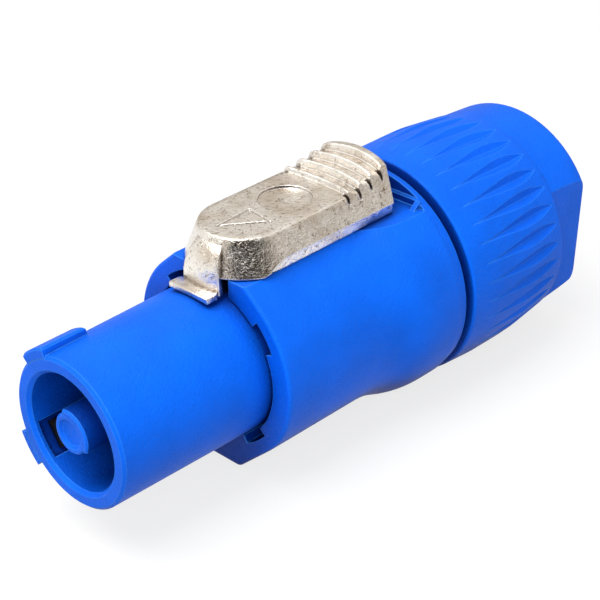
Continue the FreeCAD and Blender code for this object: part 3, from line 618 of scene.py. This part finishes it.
def make_materials():
    """Build the shared groups and the five finishes once, and hand them out by name."""
    if FINISHES:
        return FINISHES
    scene = bpy.context.scene
    groups = {"edge": soft_edge_group(), "grain": moulded_grain_group(), "cast": cast_skin_group()}
    FINISHES.update({
        "blue_plastic": blue_plastic(groups, scene.connector_plastic),
        "latch_metal": latch_metal(groups, scene.connector_latch),
        "contact_brass": plain_metal(groups, "contact_brass", BRASS, BRASS_ROUGHNESS),
        "steel": plain_metal(groups, "steel", STEEL, STEEL_ROUGHNESS),
        "chuck_plastic": chuck_plastic(groups),
    })
    return FINISHES


def finish_nodes(names, finish):
    """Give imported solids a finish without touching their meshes."""
    for name in names:
        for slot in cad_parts[name].material_slots:
            slot.link = "OBJECT"
            slot.material = make_materials()[finish]


# Settings

class PlasticSettings(bpy.types.PropertyGroup):
    colour: FloatVectorProperty(
        name="Blue", description="Colour of the moulded shells", subtype="COLOR", size=3,
        min=0.0, max=1.0, default=(0.001, 0.150, 0.97))
    edge_radius: FloatProperty(
        name="Edge rounding", description="Rounding that softens moulded edges",
        default=0.00022, min=0.0, unit="LENGTH", precision=5)
    grain_depth: FloatProperty(
        name="Grain depth", description="Depth of the moulded grain",
        default=0.00018, min=0.0, unit="LENGTH", precision=6)


class LatchSettings(bpy.types.PropertyGroup):
    colour: FloatVectorProperty(
        name="Plating", description="Colour of the plated casting", subtype="COLOR", size=3,
        min=0.0, max=1.0, default=(0.92, 0.875, 0.81))
    edge_radius: FloatProperty(
        name="Edge rounding", description="Rounding along the casting's edges",
        default=0.00018, min=0.0, unit="LENGTH", precision=5)
    grain_depth: FloatProperty(
        name="Grain depth", description="Depth of the casting's skin",
        default=0.0001, min=0.0, unit="LENGTH", precision=6)


class GripSettings(bpy.types.PropertyGroup):
    flutes: IntProperty(
        name="Flutes", description="Number of flutes around the bushing", default=36, min=6,
        subtype="UNSIGNED")
    flute_half_width: FloatProperty(
        name="Flute half width", description="Half of the widest part of a flute",
        default=0.00092, min=0.0, unit="LENGTH", precision=5)
    flute_depth: FloatProperty(
        name="Flute depth", description="Depth of a flute at its widest place",
        default=0.00058, min=0.0, unit="LENGTH", precision=5)
    flat_half: FloatProperty(
        name="Half width across flats", description="Distance from the axis to each wrench flat",
        default=0.0115, min=0.001, unit="LENGTH", precision=4)


class ThreadSettings(bpy.types.PropertyGroup):
    pitch: FloatProperty(
        name="Thread pitch", description="Advance of the bushing in one turn",
        default=0.0025, min=0.0005, unit="LENGTH", precision=4)
    height: FloatProperty(
        name="Thread height", description="Height of the thread above the neck",
        default=0.00016, min=0.0, unit="LENGTH", precision=5)


class StageSettings(bpy.types.PropertyGroup):
    floor_colour: FloatVectorProperty(
        name="Floor", description="Colour of the floor", subtype="COLOR", size=3,
        min=0.0, max=1.0, default=(0.9, 0.9, 0.9))
    key_power: FloatProperty(
        name="Key light", description="Power of the large softbox above",
        default=1.7, min=0.0, unit="POWER")
    fill_power: FloatProperty(
        name="Fill light", description="Power of the softbox beside the camera",
        default=1.4, min=0.0, unit="POWER")


# Pieces

def flute_half_width(station, widest):
    """Half width of a flute at a station: pointed at the front, blunt at the rear."""
    share = (station - FLUTE_START) / (FLUTE_END - FLUTE_START)
    if share <= 0 or share >= 1:
        return 0.0
    return widest * math.sin(math.pi * share ** FLUTE_LEAN) ** FLUTE_FULLNESS


def split_skin(outline):
    """The grip's outline with the long runs of its outer skin split into short steps."""
    fine = []
    for first, last in zip(outline, outline[1:] + outline[:1]):
        fine.append(first)
        span = (last - first).length
        if min(first.y, last.y) > SKIN_RADIUS and span > SKIN_STEP:
            pieces = math.ceil(span / SKIN_STEP)
            fine += [first.lerp(last, step / pieces) for step in range(1, pieces)]
    return fine


def grip_rows(settings):
    """Rows of the fluted ring, outside from mouth to rear and back along the inside."""
    pitch = math.tau / settings.flutes
    widest = settings.flute_half_width / MM
    deepest = settings.flute_depth / MM
    rows = []
    for spot in split_skin(rounded_line(GRIP_OUTLINE)):
        radius, along = spot.y, Vector((spot.x, 0, 0))
        half, depth = PLAIN_HALF, 0.0
        if radius > SKIN_RADIUS:
            half = max(flute_half_width(spot.x, widest), FLUTE_LEAST)
            depth = deepest * half / widest if half > FLUTE_LEAST else 0.0
        gap = pitch - 2 * half / radius
        row = []
        for flute in range(settings.flutes):
            middle = pitch * flute + math.radians(BUSHING_TURN)
            for step in range(FLUTE_COLUMNS):
                across = step / FLUTE_COLUMNS * 2 - 1
                hollow = depth * (1 - abs(across) ** FLUTE_SECTION)
                row.append(around(middle + across * half / radius) * (radius - hollow) + along)
            for step in range(RIB_COLUMNS):
                turn = middle + half / radius + gap * step / RIB_COLUMNS
                row.append(around(turn) * radius + along)
        rows.append(row)
    return rows


def wrench_rows(settings):
    """Rows of the plain rear end with its two wrench flats."""
    flat = settings.flat_half / MM
    rows = []
    for spot in rounded_line(END_OUTLINE):
        radius, along = spot.y, Vector((spot.x, 0, 0))
        flattened = radius > flat
        corner = math.radians(PLAIN_CORNER)
        if flattened:
            corner = math.acos(min(flat / radius, CORNER_COSINE))
        row = []
        for side in (0, 1):
            centre = math.radians(90 + BUSHING_TURN) + math.pi * side
            for step in range(FLAT_COLUMNS):
                turn = -corner + 2 * corner * step / FLAT_COLUMNS
                reach = min(radius, flat / math.cos(turn)) if flattened else radius
                row.append(around(centre + turn) * reach + along)
            for step in range(ROUND_COLUMNS):
                turn = corner + (math.pi - 2 * corner) * step / ROUND_COLUMNS
                row.append(around(centre + turn) * radius + along)
        rows.append(row)
    return rows


def thread_mesh(name, settings):
    """Rounded thread ridge that winds along the neck and fades out at both ends."""
    pitch, top = settings.pitch / MM, settings.height / MM
    section = [(-THREAD_BURIED, -THREAD_DEPTH), (-THREAD_FOOT, 0.0), (-THREAD_CREST, top),
               (THREAD_CREST, top), (THREAD_FOOT, 0.0), (THREAD_BURIED, -THREAD_DEPTH)]
    turns = (NECK_END - NECK_START - 2 * THREAD_MARGIN) / pitch
    steps = int(turns * THREAD_STEPS)
    points = []
    for step in range(steps + 1):
        turn = math.tau * turns * step / steps
        fade = min(1.0, step / THREAD_FADE, (steps - step) / THREAD_FADE)
        station = NECK_START + THREAD_MARGIN + pitch * turns * step / steps
        for along, out in section:
            radius = NECK_RADIUS + (out * fade if out > 0 else out)
            points.append((around(turn) * radius + Vector((station + along, 0, 0))) * MM)
    wide = len(section)
    faces = [face for step in range(steps) for face in loop_faces(wide, step, step + 1)]
    faces.append(tuple(range(wide)))
    faces.append(tuple(steps * wide + spot for spot in reversed(range(wide))))
    mesh = face_mesh(name, points, faces)
    outward(mesh)
    return mesh


def ridge_valley(ridge):
    """Station of the valley in front of a thumb ridge."""
    return RIDGE_START + RIDGE_PITCH * ridge


def ridge_profile():
    """(station, height) points of the latch's top, from the nose's centre to the rear."""
    length = RIDGE_START - NOSE_CENTRE
    line = [(NOSE_CENTRE + step * length / TOP_LENGTH_STEPS, LATCH_TOP)
            for step in range(TOP_LENGTH_STEPS + 1)]
    for ridge in range(RIDGES):
        valley = ridge_valley(ridge)
        crest = LATCH_TOP + RIDGE_RISE * (ridge + 1)
        if ridge > 0:
            (start, high), low = line[-1], crest - RIDGE_RISE - RIDGE_HOLLOW
            for step in range(1, RIDGE_STEPS + 1):
                share = step / RIDGE_STEPS
                sag = RIDGE_SAG * 4 * share * (1 - share)
                line.append((start + (valley - start) * share, high + (low - high) * share - sag))
        line += [(valley + behind, crest + above) for behind, above in RIDGE_FACE]
    crest = LATCH_TOP + RIDGE_RISE * RIDGES
    return line + [(LATCH_REAR - REAR_ROUND, crest), (LATCH_REAR, crest - REAR_ROUND)]


def flank_half(height):
    """Half width of the latch between its drafted flanks at a height."""
    return LATCH_HALF + LATCH_DRAFT * (LATCH_TOP - height)


def band_height(station):
    """Height of the flank's lower edge: it drops to the base along an arc at the nose."""
    ahead = min(max((BAND_RISE_END - station) / BAND_RISE, 0.0), 1.0)
    return max(BAND_TOP - BAND_RISE * (1 - math.sqrt(1 - ahead * ahead)), LATCH_BASE + BAND_LEAST)


def crest_bend(station, reach):
    """How far a line across the latch bows forward at its ends; nothing at the nose."""
    behind = (station - NOSE_CENTRE) / (LATCH_REAR - NOSE_CENTRE)
    return CREST_BOW * behind ** CREST_BOW_CURVE * (reach / LATCH_HALF) ** 2


def crest_drop(station):
    """How far the ends of a ridge lie lower than its middle."""
    return CREST_CROWN * max(station - RIDGE_START, 0.0) / (LATCH_REAR - RIDGE_START)


def latch_column(station, top, place):
    """Points from the top's centre line over the edge, down the flank and across the base."""
    half = flank_half(top)
    drop = crest_drop(station)
    edge = top - drop
    points = []
    for step in range(TOP_WIDTH_STEPS + 1):
        reach = (half - TOP_INSET) * step / TOP_WIDTH_STEPS
        points.append(place(reach, top - drop * (reach / half) ** 2))
    points += [place(half + out, edge - down) for out, down in TOP_ROUND]
    start = edge - FLANK_DROP
    low = band_height(place(half, 0).x)
    for step in range(FLANK_STEPS + 1):
        height = start + (low - start) * step / FLANK_STEPS
        points.append(place(flank_half(height), height))
    inner = LATCH_BASE_HALF - BAND_INSET
    points += [place(inner, low - BAND_LIP), place(inner, LATCH_BASE + BASE_ROUND_UP),
               place(inner - BASE_ROUND_IN, LATCH_BASE)]
    return points + [place(inner * share, LATCH_BASE) for share in BASE_SHARES]


def closed_shape(shape):
    """The same shape with every face turned to face out."""
    bmesh.ops.recalc_face_normals(shape, faces=shape.faces)
    return shape


def latch_block():
    """Closed body of the latch: straight flanks joined by a round, drafted nose."""
    def beside(station, side):
        return lambda reach, height: Vector((
            station - crest_bend(station, reach), side * reach, height))

    def nose(angle):
        return lambda reach, height: Vector((
            NOSE_CENTRE - reach * math.sin(angle), -reach * math.cos(angle), height))

    line = ridge_profile()
    columns = [latch_column(station, top, beside(station, -1)) for station, top in reversed(line)]
    columns += [latch_column(NOSE_CENTRE, LATCH_TOP, nose(math.pi * step / NOSE_STEPS))
                for step in range(1, NOSE_STEPS)]
    columns += [latch_column(station, top, beside(station, 1)) for station, top in line]
    shape = bmesh.new()
    grid = [[shape.verts.new(point * MM) for point in column] for column in columns]
    for left, right in zip(grid, grid[1:]):
        for row in range(len(left) - 1):
            shape.faces.new((left[row], left[row + 1], right[row + 1], right[row]))
    bmesh.ops.remove_doubles(shape, verts=shape.verts, dist=MERGE_DISTANCE)
    rims = [edge for edge in shape.edges if edge.is_boundary]
    bmesh.ops.holes_fill(shape, edges=rims, sides=0)
    return closed_shape(shape)


def closed_bar(rings):
    """Closed shape between two rings of points in millimetres."""
    shape = bmesh.new()
    first, last = ([shape.verts.new(Vector(point) * MM) for point in ring] for ring in rings)
    for index in range(len(first)):
        beside = (index + 1) % len(first)
        shape.faces.new((first[index], first[beside], last[beside], last[index]))
    shape.faces.new(last)
    shape.faces.new(first[::-1])
    return closed_shape(shape)


def prism(outline, low, high, spread=0.0):
    """Closed upright prism; the spread widens its top away from the outline's middle."""
    middle = sum((Vector(point) for point in outline), Vector((0, 0))) / len(outline)
    rings = []
    for height, grow in ((low, 0.0), (high, spread)):
        ring = []
        for x, y in outline:
            away = (Vector((x, y)) - middle).normalized() * grow
            ring.append((x + away.x, y + away.y, height))
        rings.append(ring)
    return closed_bar(rings)


def groove_bar(start, end):
    """Closed bar with a V section that cuts a groove into the latch's flat top."""
    start, end = Vector(start), Vector(end)
    along = (end - start).normalized() * GROOVE_HALF
    across = Vector((-along.y, along.x))
    above = LATCH_TOP + GROOVE_DEPTH * GROOVE_ABOVE
    section = ((-GROOVE_WIDEN, above), (GROOVE_WIDEN, above), (0, LATCH_TOP - GROOVE_DEPTH))
    return closed_bar([[(*(spot + across * side), height) for side, height in section]
                       for spot in (start - along, end + along)])


def box_outline(start, end, near, far):
    """Corners of an upright box between two stations and two places across."""
    return [(start, near), (end, near), (end, far), (start, far)]


def latch_cutters():
    """Shapes that are cut out of the latch: recess, arrowhead, slits, rail slot and spring bay."""
    turns = [math.tau * step / RECESS_STEPS for step in range(RECESS_STEPS)]
    recess = [(RECESS_STATION + RECESS_RADIUS * math.cos(turn), RECESS_RADIUS * math.sin(turn))
              for turn in turns]
    cutters = [prism(recess, LATCH_TOP - RECESS_DEPTH, LATCH_TOP + CUT_ABOVE, RECESS_DRAFT)]
    cutters += [groove_bar(start, end)
                for start, end in zip(ARROW_CORNERS, ARROW_CORNERS[1:] + ARROW_CORNERS[:1])]
    for ridge in range(RIDGES):
        valley = ridge_valley(ridge)
        hollow = RIDGE_HOLLOW if ridge > 0 else 0.0
        low = LATCH_TOP + RIDGE_RISE * ridge - hollow - crest_drop(valley)
        half = flank_half(low)
        station = valley - crest_bend(valley, half)
        for side in (-1, 1):
            slit = box_outline(station - SLIT_AHEAD, station + SLIT_BEHIND,
                               side * (half - SLIT_INWARD), side * (half + SLIT_OUTWARD))
            cutters.append(prism(slit, low - SLIT_DEPTH, low + CUT_ABOVE))
    cutters += [prism(box_outline(start, end, -half, half), floor, roof)
                for start, end, half, floor, roof in INNER_CUTS]
    return cutters


def cut_shapes(name, shape, cutters):
    """Mesh of a shape with other shapes cut out of it."""
    def as_object(label, content):
        mesh = bpy.data.meshes.new(label)
        content.to_mesh(mesh)
        content.free()
        piece = bpy.data.objects.new(label, mesh)
        bpy.context.scene.collection.objects.link(piece)
        return piece

    body = as_object(name, shape)
    tools = [as_object("cutter", cutter) for cutter in cutters]
    for tool in tools:
        modifier = body.modifiers.new("cut", "BOOLEAN")
        modifier.operation = "DIFFERENCE"
        modifier.solver = "EXACT"
        modifier.object = tool
    cut = body.evaluated_get(bpy.context.evaluated_depsgraph_get())
    mesh = bpy.data.meshes.new_from_object(cut)
    for piece in (body, *tools):
        blank = piece.data
        bpy.data.objects.remove(piece)
        bpy.data.meshes.remove(blank)
    if not mesh.polygons:
        raise RuntimeError(f"{name}: nothing is left after the cuts")
    mesh.name = name
    return mesh


def tongue_shape():
    """Shield-like tongue in front of the nose, crowned across, from foot to top edge."""
    shape = bmesh.new()
    shares = [step / TONGUE_STEPS * 2 - 1 for step in range(TONGUE_STEPS + 1)]
    rows = []
    for x, z, half in TONGUE_ROWS:
        points = [Vector((x + TONGUE_CROWN * share * share, half * share, z)) for share in shares]
        rows.append([shape.verts.new(point * MM) for point in points])
    for low, high in zip(rows, rows[1:]):
        for step in range(TONGUE_STEPS):
            shape.faces.new((low[step], low[step + 1], high[step + 1], high[step]))
    rear, half, floor = TONGUE_REAR
    right, left = (shape.verts.new(Vector((rear, half * side, floor)) * MM) for side in (-1, 1))
    shape.faces.new([row[0] for row in reversed(rows)] + [right])
    shape.faces.new([row[-1] for row in rows] + [left])
    shape.faces.new(rows[0] + [left, right])
    shape.faces.new(rows[-1][::-1] + [right, left])
    return closed_shape(shape)


def foot_shape():
    """Flat foot under the tongue, tapered towards the latch."""
    return prism([(x, -y) for x, y in FOOT_SIDE] + list(FOOT_SIDE[::-1]), FOOT_LOW, FOOT_HIGH)


def bevelled_mesh(name, shape, width):
    """Mesh of a shape with its hard edges rounded."""
    edges = [edge for edge in shape.edges
             if len(edge.link_faces) == 2 and edge.calc_face_angle() > math.radians(BEVEL_SHARP)]
    bmesh.ops.bevel(shape, geom=edges, offset=width * MM, segments=BEVEL_SEGMENTS, affect="EDGES",
                    profile=0.5, clamp_overlap=True)
    mesh = bpy.data.meshes.new(name)
    shape.to_mesh(mesh)
    shape.free()
    return mesh


class CONNECTOR_OT_shells(bpy.types.Operator):
    """Finish the housing, the contact carrier and the cable chuck, and wind the neck thread"""
    bl_idname = "connector.shells"
    bl_label = "Moulded shells"

    def execute(self, context):
        finish_nodes(("housing", "contact_carrier"), "blue_plastic")
        finish_nodes(("cable_chuck",), "chuck_plastic")
        mesh = thread_mesh("neck_thread", context.scene.connector_thread)
        smooth(mesh, THREAD_SHARP)
        new_piece("neck_thread", mesh, "body", "blue_plastic")
        return {"FINISHED"}


class CONNECTOR_OT_bushing(bpy.types.Operator):
    """Build the fluted grip ring and the rear end with wrench flats"""
    bl_idname = "connector.bushing"
    bl_label = "Bushing"

    def execute(self, context):
        settings = context.scene.connector_grip
        for name, rows, sharp in (("bushing_grip", grip_rows(settings), GRIP_SHARP),
                                  ("bushing_end", wrench_rows(settings), END_SHARP)):
            mesh = ring_mesh(name, rows)
            smooth(mesh, sharp)
            piece = new_piece(name, mesh, "bushing", "blue_plastic")
            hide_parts("bushing")
        return {"FINISHED"}


class CONNECTOR_OT_latch(bpy.types.Operator):
    """Build the die-cast latch with its tongue and foot, and finish its coil spring"""
    bl_idname = "connector.latch"
    bl_label = "Latch"

    def execute(self, context):
        block = cut_shapes("latch_block", latch_block(), latch_cutters())
        tongue = bevelled_mesh("latch_tongue", tongue_shape(), TONGUE_BEVEL)
        foot = bevelled_mesh("latch_foot", foot_shape(), FOOT_BEVEL)
        for mesh in (block, tongue, foot):
            smooth(mesh, LATCH_SHARP)
            piece = new_piece(mesh.name, mesh, "latch", "latch_metal")
            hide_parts("latch")
        finish_nodes(("latch_spring",), "steel")
        return {"FINISHED"}


class CONNECTOR_OT_contacts(bpy.types.Operator):
    """Finish the contacts, wire clamps and terminal screws"""
    bl_idname = "connector.contacts"
    bl_label = "Contacts"

    def execute(self, context):
        for pole in ("line", "neutral", "earth"):
            finish_nodes((f"contact_{pole}",), "contact_brass")
            finish_nodes((f"wire_clamp_{pole}", f"terminal_screw_{pole}"), "steel")
        return {"FINISHED"}


# Stage

def floor_material(colour):
    """Pale floor that reads white to the camera and in reflections, and keeps the shadow."""
    material = bpy.data.materials.new("studio_floor")
    material.use_nodes = True
    material.node_tree.nodes.clear()
    nodes = Nodes(material.node_tree)
    diffuse = nodes.add("ShaderNodeBsdfDiffuse", in_Color=solid(colour, FLOOR_SHARE))
    glow = nodes.add("ShaderNodeEmission", in_Color=WHITE)
    nodes.join(nodes.maths("MULTIPLY", nodes.seen(), FLOOR_GLOW), glow.inputs["Strength"])
    both = nodes.add("ShaderNodeAddShader")
    nodes.fill(both.inputs, (diffuse.outputs["BSDF"], glow.outputs["Emission"]))
    nodes.join(both.outputs["Shader"], nodes.add("ShaderNodeOutputMaterial").inputs["Surface"])
    return material


def add_softbox(name, box, power):
    """Rectangular light that faces the stage's centre."""
    direction, distance, size = box
    light = bpy.data.lights.new(name, "AREA")
    light.shape = "RECTANGLE"
    light.size, light.size_y = size
    light.energy = power
    lamp = bpy.data.objects.new(name, light)
    bpy.context.scene.collection.objects.link(lamp)
    way = Vector(direction).normalized()
    lamp.location = Vector(STAGE_CENTRE) + way * distance
    lamp.rotation_euler = way.to_track_quat("Z", "Y").to_euler()
    return lamp


def set_world():
    """White backdrop, an even soft light, and a graded studio in what the metal mirrors."""
    world = bpy.data.worlds.new("studio")
    bpy.context.scene.world = world
    world.use_nodes = True
    world.node_tree.nodes.clear()
    nodes = Nodes(world.node_tree)
    way = nodes.add("ShaderNodeTexCoord").outputs["Generated"]
    parts = nodes.add("ShaderNodeSeparateXYZ")
    nodes.join(way, parts.inputs["Vector"])
    mirrored = nodes.mix(nodes.ramp(parts.outputs["Z"], low=0.1, high=0.7), WORLD_LOW, WORLD_HIGH)
    for direction, start, full, colour in WORLD_ZONES:
        zone = nodes.ramp(nodes.dot(way, direction), low=start, high=full)
        mirrored = nodes.mix(zone, mirrored, colour)
    camera = nodes.add("ShaderNodeLightPath").outputs["Is Camera Ray"]
    light = nodes.add("ShaderNodeBackground", in_Color=WHITE, in_Strength=WORLD_STRENGTH).outputs
    backdrop = nodes.add("ShaderNodeBackground")
    nodes.join(nodes.mix(camera, mirrored, WHITE), backdrop.inputs["Color"])
    mix = nodes.add("ShaderNodeMixShader")
    nodes.fill(mix.inputs, (nodes.seen(), light["Background"], backdrop.outputs["Background"]))
    nodes.join(mix.outputs["Shader"], nodes.add("ShaderNodeOutputWorld").inputs["Surface"])


def add_camera():
    """Camera at the photograph's viewing angle, from the turn, rise and roll of its view."""
    turn, rise, roll = (math.radians(angle) for angle in (CAMERA_TURN, CAMERA_RISE, CAMERA_ROLL))
    back = Vector((math.sin(turn) * math.cos(rise), -math.cos(turn) * math.cos(rise),
                   math.sin(rise)))
    right = Vector((math.cos(turn), math.sin(turn), 0))
    up = back.cross(right)
    across = right * math.cos(roll) + up * math.sin(roll)
    upward = up * math.cos(roll) - right * math.sin(roll)
    place = Vector(CAMERA_TARGET) + back * CAMERA_DISTANCE
    data = bpy.data.cameras.new("camera")
    data.sensor_width = CAMERA_SENSOR
    data.lens = CAMERA_FOCAL / CAMERA_PICTURE * CAMERA_SENSOR
    data.shift_y = CAMERA_SHIFT
    data.clip_start = CAMERA_CLIP
    camera = bpy.data.objects.new("camera", data)
    bpy.context.scene.collection.objects.link(camera)
    camera.matrix_world = Matrix((
        (across.x, upward.x, back.x, place.x), (across.y, upward.y, back.y, place.y),
        (across.z, upward.z, back.z, place.z), (0, 0, 0, 1)))
    bpy.context.scene.camera = camera


class CONNECTOR_OT_stage(bpy.types.Operator):
    """Lay the pale floor, hang the softboxes and place the camera"""
    bl_idname = "connector.stage"
    bl_label = "Stage"

    def execute(self, context):
        settings = context.scene.connector_stage
        low = CAD_BOX[0][2]
        half = FLOOR_HALF
        mesh = face_mesh("floor", [(-half, -half, low), (half, -half, low), (half, half, low),
                                   (-half, half, low)], [(0, 1, 2, 3)])
        floor = bpy.data.objects.new("floor", mesh)
        context.scene.collection.objects.link(floor)
        mesh.materials.append(floor_material(settings.floor_colour))
        add_softbox("key", KEY_BOX, settings.key_power)
        fill = add_softbox("fill", FILL_BOX, settings.fill_power)
        fill.visible_glossy = False
        set_world()
        add_camera()
        context.scene.view_settings.view_transform = "Standard"
        return {"FINISHED"}


class CONNECTOR_PT_panel(bpy.types.Panel):
    """Lists the connector's pieces and the stage"""
    bl_idname = "CONNECTOR_PT_panel"
    bl_label = "Power connector"
    bl_space_type = "VIEW_3D"
    bl_region_type = "UI"
    bl_category = "Connector"

    def draw(self, context):
        for maker in OPERATORS:
            self.layout.operator(maker.bl_idname)


SETTINGS = {
    "connector_plastic": PlasticSettings,
    "connector_latch": LatchSettings,
    "connector_grip": GripSettings,
    "connector_thread": ThreadSettings,
    "connector_stage": StageSettings,
}
OPERATORS = (CONNECTOR_OT_shells, CONNECTOR_OT_bushing, CONNECTOR_OT_latch, CONNECTOR_OT_contacts,
             CONNECTOR_OT_stage)


def register():
    """Add the settings, the operators and the panel."""
    for kind in (*SETTINGS.values(), *OPERATORS, CONNECTOR_PT_panel):
        bpy.utils.register_class(kind)
    for name, kind in SETTINGS.items():
        setattr(bpy.types.Scene, name, PointerProperty(type=kind))


def unregister():
    """Take the settings, the operators and the panel away again."""
    for name in SETTINGS:
        delattr(bpy.types.Scene, name)
    for kind in reversed((*SETTINGS.values(), *OPERATORS, CONNECTOR_PT_panel)):
        bpy.utils.unregister_class(kind)


def main():
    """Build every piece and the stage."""
    register()
    bpy.ops.connector.shells()
    bpy.ops.connector.bushing()
    bpy.ops.connector.latch()
    bpy.ops.connector.contacts()
    bpy.ops.connector.stage()


if __name__ == "__main__":
    main()
